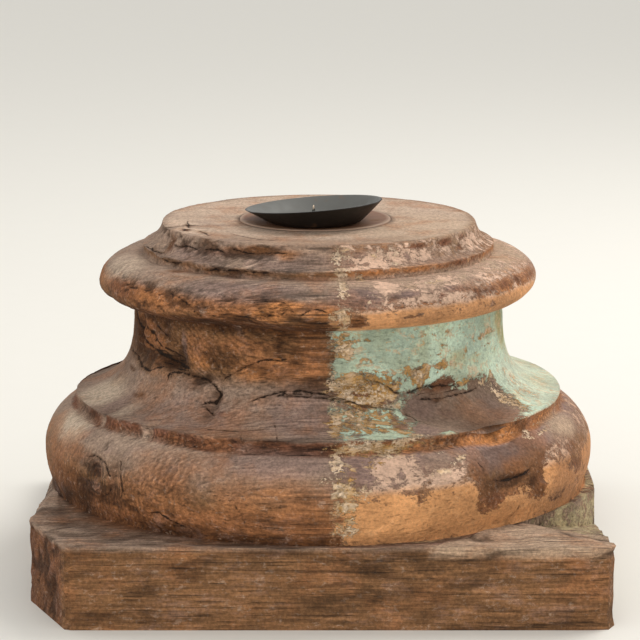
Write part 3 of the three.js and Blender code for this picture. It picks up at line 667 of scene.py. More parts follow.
class Skin:
    """Where each vertex of the base lies on the turned surface, in millimetres and degrees"""

    def __init__(self, places, profile):
        self.points = places / MM
        self.radius = np.hypot(self.points[:, 0], self.points[:, 1])
        self.level = self.points[:, 2].copy()
        self.azimuth = np.degrees(np.arctan2(self.points[:, 0], -self.points[:, 1]))
        self.ring = nearest_ring(profile / MM, self.radius, self.level)
        steps = np.hypot(*np.diff(profile, axis=0).T) / MM
        runs = np.concatenate([[0], np.cumsum(steps)])
        edge = SEAT_RINGS - 1
        self.ring_runs = runs - runs[edge] + profile[edge, 0] / MM
        self.ring_radii = profile[:, 0] / MM
        self.run = self.ring_runs[self.ring]
        along = np.gradient(profile, axis=0)
        along /= np.maximum(np.hypot(along[:, 0], along[:, 1]), 1e-9)[:, None]
        self.out, self.up = -along[self.ring, 1], along[self.ring, 0]
        wander = rough_relief(self.points / 16, 90) * 2.4 + rough_relief(self.points / 5, 93) * 1.1
        drift = rough_relief(self.points / 16, 96) * 2.4 + rough_relief(self.points / 5, 99) * 1.1
        self.wandered = self.azimuth + np.degrees(wander / np.maximum(self.radius, 20))
        self.drifted = self.run + drift
        self.front = 1 - ramp(self.azimuth, *BACK_FADE)

    def mark(self, azimuth, run, wide, high, share=1.0):
        """The share in the middle of an oval mark, falling to 0 a little outside its edge."""
        across = np.radians(self.wandered - azimuth) * self.radius / wide
        down = (self.drifted - run) / high
        return share * ramp(1.5 - np.hypot(across, down), 0, 1)

    def by_run(self, values):
        return np.interp(self.run, list(values), list(values.values()))


def nearest_ring(profile, radius, level):
    """Number of the profile point that each vertex was turned from."""
    ring = np.empty(len(radius), int)
    for start in range(0, len(radius), RING_BATCH):
        part = slice(start, start + RING_BATCH)
        gap = (radius[part, None] - profile[:, 0]) ** 2 + (level[part, None] - profile[:, 1]) ** 2
        ring[part] = np.argmin(gap, axis=1)
    return ring


def form_offset(form, skin, turned_height, plinth):
    """Distance from the middle of a worn place, 1 at the edge of its spread."""
    turn = (skin.azimuth - form[0] + 180) % 360 - 180
    across = np.radians(turn) * skin.radius / (form[2] * turned_height)
    up = (skin.level - plinth - form[1] * turned_height) / (form[3] * turned_height)
    return np.hypot(across, up)


def wear_depth(skin, sizes):
    """Depth in millimetres of the worn places that the solid has too."""
    plinth = sizes.plinth_height / MM
    turned_height = sizes.top_level / MM - plinth
    wear = np.zeros(len(skin.run))
    for form in [*HOLLOWS.values(), *LUMPS.values()]:
        wear += form[4] * np.exp(-form_offset(form, skin, turned_height, plinth) ** 2)
    for form in BEDS.values():
        wear += form[4] * (1 - ramp(form_offset(form, skin, turned_height, plinth), 0.8, 1.15))
    return wear * sizes.wear / MM


def crack_fields(skin, path):
    """Signed distance of each vertex to a crack, and the share of its length where it is nearest."""
    side = np.full(len(skin.run), 1e3)
    share = np.zeros(len(skin.run))
    lengths = []
    wobble = rough_relief(skin.points / 6, 40) * 0.9
    for (a0, s0), (a1, s1) in zip(path[:-1], path[1:]):
        middle = np.interp((s0 + s1) / 2, skin.ring_runs, skin.ring_radii)
        lengths.append(math.hypot(math.radians(a1 - a0) * middle, s1 - s0))
    total, done = sum(lengths), 0
    for (a0, s0), (a1, s1), part in zip(path[:-1], path[1:], lengths):
        across = np.radians(skin.azimuth - a0) * skin.radius
        down = skin.run + wobble - s0
        step, drop = np.radians(a1 - a0) * skin.radius, s1 - s0
        along = np.clip((across * step + down * drop) / (step ** 2 + drop ** 2), 0, 1)
        gap = np.hypot(across - along * step, down - along * drop)
        near = gap < np.abs(side)
        sign = np.where(step * down - drop * across >= 0, 1, -1)
        side = np.where(near, sign * gap, side)
        share = np.where(near, (done + along * part) / total, share)
        done += part
    return side, share


def all_cracks(skin):
    """Nearest crack of each vertex: signed distance and half width. Also the depth that the cracks cut."""
    nearest = np.full(len(skin.run), 20.0)
    half = np.full(len(skin.run), -5.0)
    depth = np.zeros(len(skin.run))
    for seed, (width, ledge, path) in enumerate(CRACKS.values()):
        side, share = crack_fields(skin, path)
        taper = np.clip(4 * share * (1 - share) * 1.6, 0, 1) ** 0.5
        uneven = 0.75 + 0.45 * relief(np.stack([share * 9, share * 0 + seed, share * 0], axis=1), 71)
        past = np.clip(np.abs(side) - 3, 0, None)
        own = width * 0.4 * uneven * taper
        depth += np.exp(-(side / (width * 0.5 + 0.9)) ** 2) * (0.5 + 0.45 * width) * taper
        fade = np.exp(-np.abs(side) / 7) * taper
        depth -= ledge * fade * ramp(side, -0.6, 0.6)
        own = np.where((share <= 0) | (share >= 1), -np.abs(side), own) - past
        near = np.abs(side) - width / 2 < np.abs(nearest) - np.maximum(half, 0)
        nearest = np.where(near, side, nearest)
        half = np.where(near, own, half)
    return nearest, half, depth


def plinth_outline(sizes, azimuth):
    """Distance from the axis to the plan of the plinth: a square whose front left corner is lost."""
    half, corner = sizes.plinth_width / 2 / MM, sizes.plinth_corner / MM
    turn = np.radians(azimuth)
    square = half / np.maximum(np.abs(np.sin(turn)), np.abs(np.cos(turn)))
    diagonal = np.radians((azimuth + 180) % 90 - 45)
    chamfer = (2 * half - corner) / math.sqrt(2) / np.cos(diagonal)
    facing = np.maximum(np.cos(np.radians(azimuth + 66)), 0.3)
    return np.minimum(np.minimum(square, chamfer), 1.182 * half / facing)


def split_wall(sizes, azimuth):
    """Distance from the axis to the two upright faces of the split at the front right."""
    half = sizes.plinth_width / 2 / MM
    side = np.maximum(np.cos(np.radians(azimuth - 66)), 0.2)
    front = np.maximum(np.cos(np.radians(azimuth - 48)), 0.2)
    wall = np.minimum(0.997 * half / side, 0.955 * half / front)
    return np.where(np.abs(azimuth - 50) < 32, wall, 2 * half)


def plinth_level(sizes, x, y):
    """Height of the top face of the plinth, which slopes down at its worn left edge."""
    half, height = sizes.plinth_width / 2 / MM, sizes.plinth_height / MM
    leg = np.clip((y + 0.68 * half) / (0.58 * half), 0, 1) * sizes.edge_wear / MM
    return height - np.clip(leg - (x + half), 0, None)


def shape_plinth(skin, sizes, foot, top):
    """Moves the round rings of the plinth to its square plan. The first ring of its top is given."""
    half, height = sizes.plinth_width / 2 / MM, sizes.plinth_height / MM
    outline = plinth_outline(sizes, skin.azimuth)
    wall = split_wall(sizes, skin.azimuth)
    split = wall < 0.999 * outline
    turn = np.radians(skin.azimuth)
    leg = sizes.edge_wear / MM
    crease = (half - leg) / np.maximum(-np.sin(turn), 0.3)
    plain = np.where(crease < outline, crease, foot + 0.6 * (outline - foot))
    wall = np.where(split, wall, np.clip(plain, foot, None))
    reach = outline * np.cos(turn) / half
    bed = np.where(split, height - (1 - np.clip(reach, -1, 1)) * 1.9 * sizes.split / MM, height)
    step = skin.ring - top

    inner = (step >= 0) & (step < PLINTH_INNER_RINGS)
    share = (step + 1) / PLINTH_INNER_RINGS
    radius = foot + (wall - foot) * share
    wall_level = plinth_level(sizes, wall * np.sin(turn), -wall * np.cos(turn))
    skin.radius = np.where(inner, radius, skin.radius)
    skin.level = np.where(inner, height + (wall_level - height) * share, skin.level)

    outer = (step >= PLINTH_INNER_RINGS) & (step < PLINTH_TOP_RINGS)
    share = (step - PLINTH_INNER_RINGS) / (PLINTH_TOP_RINGS - 1 - PLINTH_INNER_RINGS)
    radius = wall + (outline - wall) * np.where(split, share, 0.2 + 0.8 * share)
    slope = plinth_level(sizes, radius * np.sin(turn), -radius * np.cos(turn))
    skin.radius = np.where(outer, radius, skin.radius)
    skin.level = np.where(outer, np.minimum(bed, slope), skin.level)

    side = step - PLINTH_TOP_RINGS
    on_side = (side >= 0) & (side < PLINTH_SIDE_RINGS)
    edge = np.minimum(bed, plinth_level(sizes, outline * np.sin(turn), -outline * np.cos(turn)))
    skin.radius = np.where(on_side, outline, skin.radius)
    skin.level = np.where(on_side, edge * (1 - (side + 1) / PLINTH_SIDE_RINGS), skin.level)
    under = side - PLINTH_SIDE_RINGS
    skin.radius = np.where(under >= 0, outline * (2 - under) / 3, skin.radius)
    skin.out = np.where(step >= 0, on_side.astype(float), skin.out)
    skin.up = np.where(step >= 0, (step < PLINTH_TOP_RINGS).astype(float), skin.up)
    return step, split & (outer | (side == 0))


def terraces(points, seed):
    """Heights from -1 to 1 in flat steps with steep edges, like layers of wood that lift off."""
    raw = 2.6 * rough_relief(points * np.array((1 / 50, 1 / 15, 1 / 11)), seed)
    whole = np.floor(raw)
    return (whole + ramp(raw - whole, 0.38, 0.62)) / 2.6


def small_relief(skin, left, flaky, grain):
    """Unevenness in millimetres round the mean surface, and its finer part, which sets how dark the hollows
    are.
    """
    points = skin.points
    broad = rough_relief(points / 70, 11, 2) * 0.8
    ridges = rough_relief(points * np.array((1 / 60, 1 / 10, 1 / 10)), 19)
    fine = rough_relief(points * np.array((1 / 20, 1 / 3.4, 1 / 3.4)), 27)
    layers = terraces(points, 33) + 0.8 * terraces(points * 2.3, 37)
    grain = np.clip(grain, 0.3, 1)
    sharp = grain * (ridges * (0.35 + 0.45 * left) + fine * (0.3 + 0.3 * left)) + layers * flaky * 2.3
    return broad + sharp, sharp


def lay(tints, share, colours, name):
    """Lays a colour over the colours of the vertices, by its share at each."""
    tints += np.asarray(share, float)[:, None] * (np.array(getattr(colours, name)) - tints)


def paint_tints(skin, colours):
    """Colour of the bare wood and of the paint at each vertex."""
    def strip(stops):
        codes = np.array([tuple(getattr(colours, name)) for name in stops.values()])
        run = skin.run + rough_relief(skin.points / 12, 51) * 3
        return np.stack([np.interp(run, list(stops), codes[:, i]) for i in range(3)], axis=1)

    right = (ramp(skin.wandered, 2, 7) * skin.front)[:, None]
    wood = strip(LEFT_WOOD) * (1 - right) + strip(RIGHT_WOOD) * right
    for name, *place in WOOD_MARKS:
        lay(wood, skin.mark(*place), colours, name)
    paint = strip(PAINT_COLOURS)
    hollow = ramp(skin.run, *HOLLOW_START) * (1 - ramp(skin.run, *HOLLOW_END))
    stain = ramp(relief(skin.points / 22, 55) + 0.5 * relief(skin.points / 8, 57), -0.3, 0.6)
    stain *= 0.25 + 0.75 * ramp(skin.azimuth, 20, 60) * (1 - ramp(skin.run, 262, 276))
    lay(paint, hollow * stain, colours, "green")
    low_right = 0.3 * ramp(skin.run, 342, 350) + 0.25 * ramp(skin.run, 374, 382)
    lay(paint, ramp(skin.azimuth, 50, 60) * low_right, colours, "warm")
    lay(paint, hollow * ramp(skin.azimuth, 58, 72) * ramp(skin.run, 262, 290) * 0.3, colours, "pale")
    return wood, paint


def tint_plinth(wood, skin, step, bed, colours):
    """Colours of the plinth: grey top, reddish break at the left, pale face at the right, and painted shade
    along the foot of the large roll.
    """
    on_plinth = step >= 0
    on_top = on_plinth & (step < PLINTH_TOP_RINGS)
    side = step >= PLINTH_TOP_RINGS
    rough = 0.5 + 0.5 * rough_relief(skin.points / 14, 63)
    right_face = ramp(skin.azimuth, 45, 60) * (1 - ramp(skin.azimuth, 84, 118))
    for share, name in (
        (on_plinth, "brown"),
        (0.8 * on_top, "grey"),
        (side * (np.abs(skin.azimuth - BREAK_AZIMUTH) < 20) * (0.4 + 0.6 * rough), "rust"),
        (side * ramp(np.abs(skin.azimuth), 20, 50) * 0.3 * rough, "dark"),
        (0.6 * on_top * ramp(-skin.azimuth, 15, 50), "pale"),
        (0.45 * side * right_face, "pale"),
        (bed * 0.7, "beige"),
        # Painted shade: the dark on the first rings of the top stands for the shade where the large roll
        # stands on the plinth.
        (on_plinth * (step < 2) * 0.6, "dark"),
    ):
        lay(wood, share, colours, name)


def bare_field(skin):
    """Millimetres inside the places at the right where paint and a layer of wood have come off."""
    def blob(azimuth, run, wide, high):
        across = np.radians(skin.wandered - azimuth) * skin.radius / wide
        down = (skin.drifted - run) / high
        return (1 - np.hypot(across, down)) * min(wide, high)

    ovals = [
        blob(44, 312, 53, 27), blob(36, 300, 34, 19), blob(38, 286, 20, 7), blob(54, 300, 26, 17),
        blob(40, 345, 30, 30), blob(44, 366, 40, 27), blob(36, 388, 13, 15), blob(50, 388, 12, 16),
        blob(27, 322, 14, 12), blob(56, 352, 20, 14), blob(45, 386, 10, 8),
    ]
    return np.max(ovals, axis=0)


def paint_share(skin, on_plinth):
    """Share of the paint that is left, from 0 to 1 and beyond where it is whole."""
    edge = ramp(skin.wandered, *PAINT_START)
    end = 1 - ramp(skin.azimuth, *PAINT_END)
    kept = skin.by_run(PAINT_LEFT)
    right = ramp(skin.azimuth, 26, 34)
    kept = np.where((skin.run > 266) & (skin.run < 335), kept + (1.5 - kept) * right, kept)
    for place in PAINT_MARKS:
        kept = kept + PAINT_CONTRAST * skin.mark(*place)
    face = ramp(skin.wandered, 48, 60) * (1 - ramp(skin.wandered, 84, 118))
    return np.where(on_plinth, 0.5 * face, np.clip(kept, 0, 1.6) * edge * end)


def grain_strength(skin, split, on_plinth):
    """Strength of the grain: less on the end grain at the sides and where a layer has split off."""
    strength = skin.by_run(GRAIN_STRENGTH)
    strength = strength * (1 - 0.5 * np.sin(np.radians(skin.azimuth)) ** 2)
    strength = strength * (1 - 0.45 * ramp(split, -1, 3))
    return np.where(on_plinth, 0.9, strength)


def marked_share(skin, marks, on_plinth):
    """Sum of the shares of some marks, from 0 to 1, and none on the plinth."""
    return np.clip(sum(skin.mark(*place) for place in marks), 0, 1) * ~on_plinth


# Degrees and steps that the base is turned by, finest over the front, and where the turn starts

TURN_SECTIONS = ((140, 320), (45, 46), (130, 58), (45, 46))
FIRST_AZIMUTH = -70


class OBJECT_OT_carved_base(bpy.types.Operator):
    """Turn the base, give it its square plinth, and carve the wear, the cracks and the splits"""

    bl_idname = "object.carved_base"
    bl_label = "Carved base"

    def execute(self, context):
        sizes, holder = context.scene.base_sizes, context.scene.holder_sizes
        profile, turned = base_profile(sizes, holder)
        piece = turn_profile("carved_base", profile, FIRST_AZIMUTH, TURN_SECTIONS)
        carve(piece, sizes, holder, profile, turned, context.scene.finishes)
        smooth_all(piece, 60)
        piece.data.materials.append(wood_finish(context.scene.finishes))
        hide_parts("column_base")
        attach(piece, "root")
        return {"FINISHED"}


def flaky_share(skin, step, bed):
    """How far the layers of the wood lift off: in the flaky places, the split and the broken corner."""
    flaky = np.max([skin.mark(*place) for place in FLAKY], axis=0)
    break_face = (np.abs(skin.azimuth - BREAK_AZIMUTH) < 17) & (step >= PLINTH_TOP_RINGS - 1)
    return np.where(step >= 0, 0.35 + 0.9 * bed + 0.9 * break_face, flaky)


def carve(piece, sizes, holder, profile, turned, colours):
    """Moves the turned vertices to their worn places and stores what the finish reads."""
    skin = Skin(vertex_places(piece), profile)
    wear = wear_depth(skin, sizes)
    step, bed = shape_plinth(skin, sizes, profile[turned - 1, 0] / MM, turned)
    on_plinth = step >= 0
    turn = np.radians(skin.azimuth)
    skin.points = np.stack([skin.radius * np.sin(turn), -skin.radius * np.cos(turn), skin.level], axis=1)

    top, rim = sizes.top_level / MM, sizes.top_radius / MM
    flat = rim - 20
    on_top = ~on_plinth & (skin.level > top - 0.5)
    on_edge = np.where(on_top, ramp(skin.radius, flat, rim - 2), 1.0)
    left = 1 - ramp(skin.azimuth, -2, 6) * skin.front
    split = bare_field(skin)
    grain = grain_strength(skin, split, on_plinth)
    uneven, sharp = small_relief(skin, left, flaky_share(skin, step, bed), grain)
    side, half, cut = all_cracks(skin)
    depth = (wear + cut * ~on_plinth) * on_edge - uneven + ramp(split, -1, 1.5) * 0.7
    depth += np.where(on_plinth | (skin.run > LOW_ROLL_RUN), 1.3, 0.2)
    depth = np.where(on_plinth, np.maximum(depth, 0), depth)
    depth = np.where(on_top & (skin.radius < flat), 0.25 - 0.2 * sharp, depth)
    still = (skin.ring < SEAT_RINGS) | (step >= PLINTH_TOP_RINGS + PLINTH_SIDE_RINGS - 1)
    depth = np.where(still, 0, depth)

    radius, level = skin.radius - depth * skin.out, skin.level - depth * skin.up
    shift = (DISC_BOX[0].x + holder.disc_radius) / MM
    near_seat = ~on_plinth * (1 - ramp(radius, rim * 0.55, rim * 0.8)) * (level > top - 20)
    placed = np.stack([radius * np.sin(turn) + shift * near_seat, -radius * np.cos(turn), level], axis=1)
    set_places(piece, np.clip(placed * MM, BASE_BOX[0], BASE_BOX[1]))

    wood, paint = paint_tints(skin, colours)
    tint_plinth(wood, skin, step, bed, colours)
    paint[on_plinth] = 0.5 * (np.array(tuple(colours.green)) + np.array(tuple(colours.beige)))
    joint = on_top * (np.abs(skin.run - holder.disc_radius / MM) < 1.5)
    lay(wood, 0.7 * joint, colours, "black")
    store_colour(piece, "wood_tint", wood)
    store_colour(piece, "paint_tint", paint)
    knot = np.hypot(np.radians(skin.azimuth + 52) * skin.radius / 0.8, skin.run - 386)
    fields = {
        "azimuth": skin.azimuth,
        "run": skin.run,
        "crack_side": np.clip(side, -20, 20),
        "crack_half": np.clip(half, -5, 5) - 5 * on_plinth,
        "cavity": np.clip(0.5 - 0.55 * sharp + 0.06 * wear, 0, 1),
        "split": np.clip(split, -10, 10) - 20 * on_plinth,
        "paint_share": paint_share(skin, on_plinth),
        "ground_share": marked_share(skin, GROUND_MARKS, on_plinth),
        "cream_share": marked_share(skin, CREAM_MARKS, on_plinth),
        "grain": grain,
        "ripple": skin.mark(-31, 368, 30, 16) + skin.mark(-60, 372, 16, 12, 0.5),
        "knot": np.clip(knot, 0, 60),
    }
    for name, values in fields.items():
        store_field(piece, name, values)


# Materials


class Finish:
    """A material that is built node by node"""

    def __init__(self, name):
        self.material = bpy.data.materials.new(name)
        self.material.use_nodes = True
        self.nodes = self.material.node_tree.nodes
        self.links = self.material.node_tree.links
        self.shader = self.nodes["Principled BSDF"]
        self.place = self.nodes.new("ShaderNodeTexCoord").outputs["Object"]

    def feed(self, socket, value):
        """Links a socket to another, or sets it to a plain value or a colour."""
        if isinstance(value, bpy.types.NodeSocket):
            self.links.new(value, socket)
        elif socket.type == "RGBA":
            socket.default_value = (*value, 1)
        else:
            socket.default_value = value

    def math(self, operation, first, second=0.5, third=None):
        node = self.nodes.new("ShaderNodeMath")
        node.operation = operation
        self.feed(node.inputs[0], first)
        self.feed(node.inputs[1], second)
        if third is not None:
            self.feed(node.inputs[2], third)
        return node.outputs[0]

    def times(self, first, second, plus=None):
        """The product of two values, and a third added to it where one is given."""
        return self.math("MULTIPLY" if plus is None else "MULTIPLY_ADD", first, second, plus)

    def about(self, value, gain, base):
        """A base plus the gain of a noise round its middle."""
        return self.times(self.math("SUBTRACT", value, 0.5), gain, base)

    def field(self, name):
        node = self.nodes.new("ShaderNodeAttribute")
        node.attribute_name = name
        return node.outputs["Fac"]

    def colour_field(self, name):
        node = self.nodes.new("ShaderNodeAttribute")
        node.attribute_name = name
        return node.outputs["Color"]

    def stretched(self, scale, move=(0, 0, 0)):
        node = self.nodes.new("ShaderNodeMapping")
        self.feed(node.inputs["Vector"], self.place)
        node.inputs["Scale"].default_value = scale
        node.inputs["Location"].default_value = move
        return node.outputs[0]

    def noise(self, vector, scale, detail=4, roughness=0.55, distortion=0):
        node = self.nodes.new("ShaderNodeTexNoise")
        self.feed(node.inputs["Vector"], vector)
        node.inputs["Scale"].default_value = scale
        node.inputs["Detail"].default_value = detail
        node.inputs["Roughness"].default_value = roughness
        node.inputs["Distortion"].default_value = distortion
        return node.outputs["Fac"]

    def between(self, value, low, high, to_low=0.0, to_high=1.0):
        node = self.nodes.new("ShaderNodeMapRange")
        node.interpolation_type = "SMOOTHSTEP"
        self.feed(node.inputs["Value"], value)
        self.feed(node.inputs["From Min"], low)
        self.feed(node.inputs["From Max"], high)
        self.feed(node.inputs["To Min"], to_low)
        self.feed(node.inputs["To Max"], to_high)
        return node.outputs["Result"]

    def mix(self, share, first, second):
        node = self.nodes.new("ShaderNodeMix")
        node.data_type = "RGBA"
        self.feed(node.inputs["Factor"], share)
        self.feed(node.inputs[6], first)
        self.feed(node.inputs[7], second)
        return node.outputs[2]

    def relief(self, height, strength, distance, below=None):
        node = self.nodes.new("ShaderNodeBump")
        self.feed(node.inputs["Height"], height)
        node.inputs["Strength"].default_value = strength
        node.inputs["Distance"].default_value = distance
        if below is not None:
            self.feed(node.inputs["Normal"], below)
        return node.outputs["Normal"]


class WoodNoises:
    """Noises that the wood and its paint are made from, and the fine dark checks"""

    def __init__(self, finish):
        self.fibres = finish.noise(finish.stretched((10, 170, 170)), 3.0, 6, 0.68)
        self.broad = finish.noise(finish.place, 22, 5, 0.62)
        self.mottle = finish.noise(finish.stretched((0.5, 1, 1), (0.7, 0, 0)), 75, 6, 0.7, 0.6)
        self.flakes = finish.noise(finish.stretched((0.7, 1, 1.1)), 80, 9, 0.78, 0.5)
        self.specks = finish.noise(finish.stretched((0.6, 1, 1), (0.2, 0.4, 0)), 240, 5, 0.75, 0.4)
        self.grit = finish.noise(finish.place, 420, 4, 0.75)
        checks = finish.noise(finish.stretched((5, 210, 210), (0.3, 0.1, 0.2)), 2.2, 3, 0.6)
        self.checks = finish.between(checks, 0.33, 0.4, 1, 0)


def growth_rings(finish):
    """Fine figure of the growth rings, from 0 to 1."""
    rings = finish.nodes.new("ShaderNodeTexWave")
    rings.wave_type = "RINGS"
    rings.rings_direction = "X"
    finish.feed(rings.inputs["Vector"], finish.stretched((0.3, 1, 1), (0, -0.05, -0.09)))
    rings.inputs["Scale"].default_value = 95
    rings.inputs["Distortion"].default_value = 14
    rings.inputs["Detail"].default_value = 5
    rings.inputs["Detail Scale"].default_value = 0.5
    rings.inputs["Detail Roughness"].default_value = 0.65
    return rings.outputs["Fac"]


def shaded(finish, colour_in, value):
    """A colour made darker or lighter by a value round 1."""
    node = finish.nodes.new("ShaderNodeVectorMath")
    node.operation = "SCALE"
    finish.feed(node.inputs[0], colour_in)
    finish.feed(node.inputs["Scale"], value)
    return node.outputs[0]


def curled_grain(finish, noises):
    """Waves of the whorl round the knot and of the ripples beside it."""
    knot = finish.field("knot")
    whorl = finish.times(noises.broad, 14.0, finish.times(knot, 1.3))
    whorl = finish.math("SINE", finish.times(noises.mottle, 8.0, whorl))
    whorl = finish.times(whorl, finish.between(knot, 12, 26, 1, 0))
    ripple = finish.times(noises.broad, 34.0, finish.times(finish.field("azimuth"), 3.6))
    ripple = finish.times(finish.math("SINE", ripple), finish.field("ripple"))
    return finish.times(ripple, 0.6, whorl)


def bare_wood(finish, noises, curls, colours):
    """Colour of the bare wood, with its grain, its figure, and darker in the hollows of its relief."""
    cavity = finish.field("cavity")
    wood = finish.colour_field("wood_tint")
    wood = finish.mix(finish.between(noises.mottle, 0.5, 0.7, 0, 0.35), wood, colours.film)
    wood = finish.mix(finish.between(noises.broad, 0.48, 0.66, 0, 0.45), wood, colours.warm)
    wood = finish.mix(finish.between(noises.specks, 0.56, 0.66, 0, 0.4), wood, colours.pale)
    value = finish.between(noises.fibres, 0.3, 0.7, 0.55, 1.42)
    value = finish.times(value, finish.between(noises.mottle, 0.3, 0.7, 0.8, 1.16))
    figure = finish.between(finish.noise(finish.place, 9, 2, 0.5), 0.42, 0.6)
    lines = finish.times(finish.between(growth_rings(finish), 0.1, 0.6, -0.3, 0.08), figure, 1.0)
    value = finish.times(value, lines)
    value = finish.times(value, finish.between(noises.checks, 0, 1, 1.0, 0.62))
    value = finish.times(finish.math("SUBTRACT", value, 1.0), finish.field("grain"), 1.02)
    value = finish.times(value, finish.between(noises.grit, 0.34, 0.66, 0.74, 1.24))
    value = finish.times(value, finish.between(cavity, 0.3, 0.95, 1.14, 0.62))
    value = finish.times(value, finish.times(curls, 0.26, 0.98))
    bare = finish.mix(finish.between(cavity, 0.55, 0.9, 0, 0.45), wood, colours.dark)
    return shaded(finish, bare, value)


def paint_layers(finish, noises):
    """Shares of the coat, of its thin veil, of the ochre ground and of the cream."""
    left = finish.field("paint_share")
    spread = finish.about(noises.specks, 2.4, finish.about(noises.flakes, 4.2, left))
    spread = finish.about(finish.field("cavity"), -0.3, spread)
    loss = finish.about(noises.grit, 8.0, finish.about(noises.flakes, 36.0, finish.field("split")))
    bared = finish.math("SUBTRACT", 1.0, finish.between(loss, -0.8, 0.8))
    present = finish.times(finish.between(left, 0.02, 0.12), bared)
    coat = finish.times(finish.between(spread, 0.48, 0.58), present)
    veil = finish.times(finish.between(spread, 0.05, 0.5, 0, 0.6), present)
    ground_share = finish.field("ground_share")
    ground = finish.about(noises.specks, 3.0, finish.about(noises.mottle, 3.4, ground_share))
    ground = finish.times(finish.between(ground, 0.42, 0.52), bared)
    ground = finish.times(ground, finish.between(ground_share, 0.05, 0.25))
    cream_share = finish.field("cream_share")
    cream = finish.about(noises.specks, 2.0, finish.about(noises.grit, 3.6, cream_share))
    cream = finish.about(noises.flakes, 3.4, cream)
    cream = finish.times(finish.between(cream, 0.47, 0.57, 0, 0.85), finish.between(cream_share, 0.05, 0.2))
    return coat, veil, ground, cream


def paint_tones(finish, noises, colours):
    """Colours of the coat, of its thin veil, of the ochre ground and of the cream."""
    fibres, mottle, grit = noises.fibres, noises.mottle, noises.grit
    run = finish.field("run")
    ochre = finish.mix(finish.between(mottle, 0.46, 0.68, 0, 0.8), colours.ochre, colours.cream)
    ochre = shaded(finish, ochre, finish.between(fibres, 0.28, 0.72, 0.7, 1.16))
    paint = finish.colour_field("paint_tint")
    paint = shaded(finish, paint, finish.between(noises.broad, 0.36, 0.62, 0.78, 1.12))
    dusty = finish.between(mottle, 0.35, 0.7, 0.88, 1.12)
    dusty = finish.times(dusty, finish.between(fibres, 0.25, 0.7, 0.88, 1.1))
    dusty = finish.times(dusty, finish.between(grit, 0.3, 0.62, 0.8, 1.14))
    thin = finish.mix(0.5, shaded(finish, paint, 0.82), colours.mauve)
    thin = shaded(finish, thin, finish.times(dusty, finish.between(fibres, 0.3, 0.7, 0.8, 1.15)))
    stains = finish.about(mottle, 2.4, finish.about(noises.specks, 2.6, 0))
    stains = finish.between(finish.about(fibres, 1.2, stains), 0.1, 0.35, 0, 0.65)
    stains = finish.times(stains, finish.between(run, 225, 240))
    stains = finish.times(stains, finish.between(run, 335, 345, 1, 0.15))
    paint = finish.mix(stains, shaded(finish, paint, dusty), ochre)
    cream = finish.mix(finish.between(noises.flakes, 0.42, 0.58, 0, 0.6), colours.cream, ochre)
    return paint, thin, ochre, shaded(finish, cream, dusty)


def wood_bumps(finish, noises, curls, open_share, layers):
    """Normals of the grain, of the cracks and of the edges of the paint."""
    height = finish.times(noises.fibres, 1.1, finish.times(noises.mottle, 1.2))
    height = finish.times(noises.grit, 0.45, height)
    height = finish.times(noises.specks, 0.5, height)
    height = finish.times(noises.checks, -0.5, height)
    height = finish.times(height, finish.times(finish.field("grain"), 0.75, 0.1))
    height = finish.times(curls, 0.5, height)
    height = finish.times(open_share, -1.4, height)
    return finish.relief(layers, 0.9, 0.0005, finish.relief(height, 0.95, 0.0024))


def wood_finish(colours):
    finish = Finish("Weathered painted wood")
    noises = WoodNoises(finish)
    curls = curled_grain(finish, noises)
    coat, veil, ground, cream = paint_layers(finish, noises)
    paint, thin, ochre, pale_ochre = paint_tones(finish, noises, colours)
    gap = finish.math("ABSOLUTE", finish.about(noises.grit, 2.0, finish.field("crack_side")))
    half = finish.about(noises.specks, 6.0, finish.field("crack_half"))
    depth = finish.math("SUBTRACT", half, gap)
    open_share = finish.between(depth, -0.3, 0.5, 0, 0.88)

    tint = bare_wood(finish, noises, curls, colours)
    for share, layer in (
        (veil, thin), (coat, paint), (ground, ochre), (cream, pale_ochre),
        (finish.between(depth, -1.6, 0.2, 0, 0.45), colours.dark), (open_share, colours.black),
    ):
        tint = finish.mix(share, tint, layer)
    finish.feed(finish.shader.inputs["Base Color"], tint)
    finish.feed(finish.shader.inputs["Roughness"], finish.between(coat, 0, 1, 0.9, 0.72))
    finish.shader.inputs["Specular IOR Level"].default_value = 0.28
    layers = finish.math("ADD", finish.math("ADD", coat, ground), cream)
    bumps = wood_bumps(finish, noises, curls, open_share, layers)
    finish.feed(finish.shader.inputs["Normal"], bumps)
    return finish.material


def disc_finish(colours):
    finish = Finish("Worn disc wood")
    fibres = finish.noise(finish.stretched((9, 140, 140)), 3, 5, 0.6)
    wood = finish.mix(finish.between(fibres, 0.35, 0.65), colours.rust, colours.brown)
    # Painted highlight: the pale colour along the rounded upper edge of the disc stands for light catching
    # it.
    wood = finish.mix(finish.field("edge"), wood, colours.pale)
    finish.feed(finish.shader.inputs["Base Color"], wood)
    finish.shader.inputs["Roughness"].default_value = 0.65
    finish.feed(finish.shader.inputs["Normal"], finish.relief(fibres, 0.3, 0.0008))
    return finish.material


def iron_finish(colours):
    finish = Finish("Blackened iron")
    scale = finish.noise(finish.place, 90, 5, 0.6)
    inside = finish.field("inside")
    iron = finish.mix(inside, colours.iron, colours.worn_iron)
    iron = finish.mix(finish.between(scale, 0.62, 0.72, 0, 0.25), iron, colours.brown)
    finish.feed(finish.shader.inputs["Base Color"], iron)
    finish.shader.inputs["Metallic"].default_value = 0.35
    finish.feed(finish.shader.inputs["Roughness"], finish.between(scale, 0.3, 0.7, 0.42, 0.6))
    finish.feed(finish.shader.inputs["Normal"], finish.relief(scale, 0.15, 0.0006))
    return finish.material


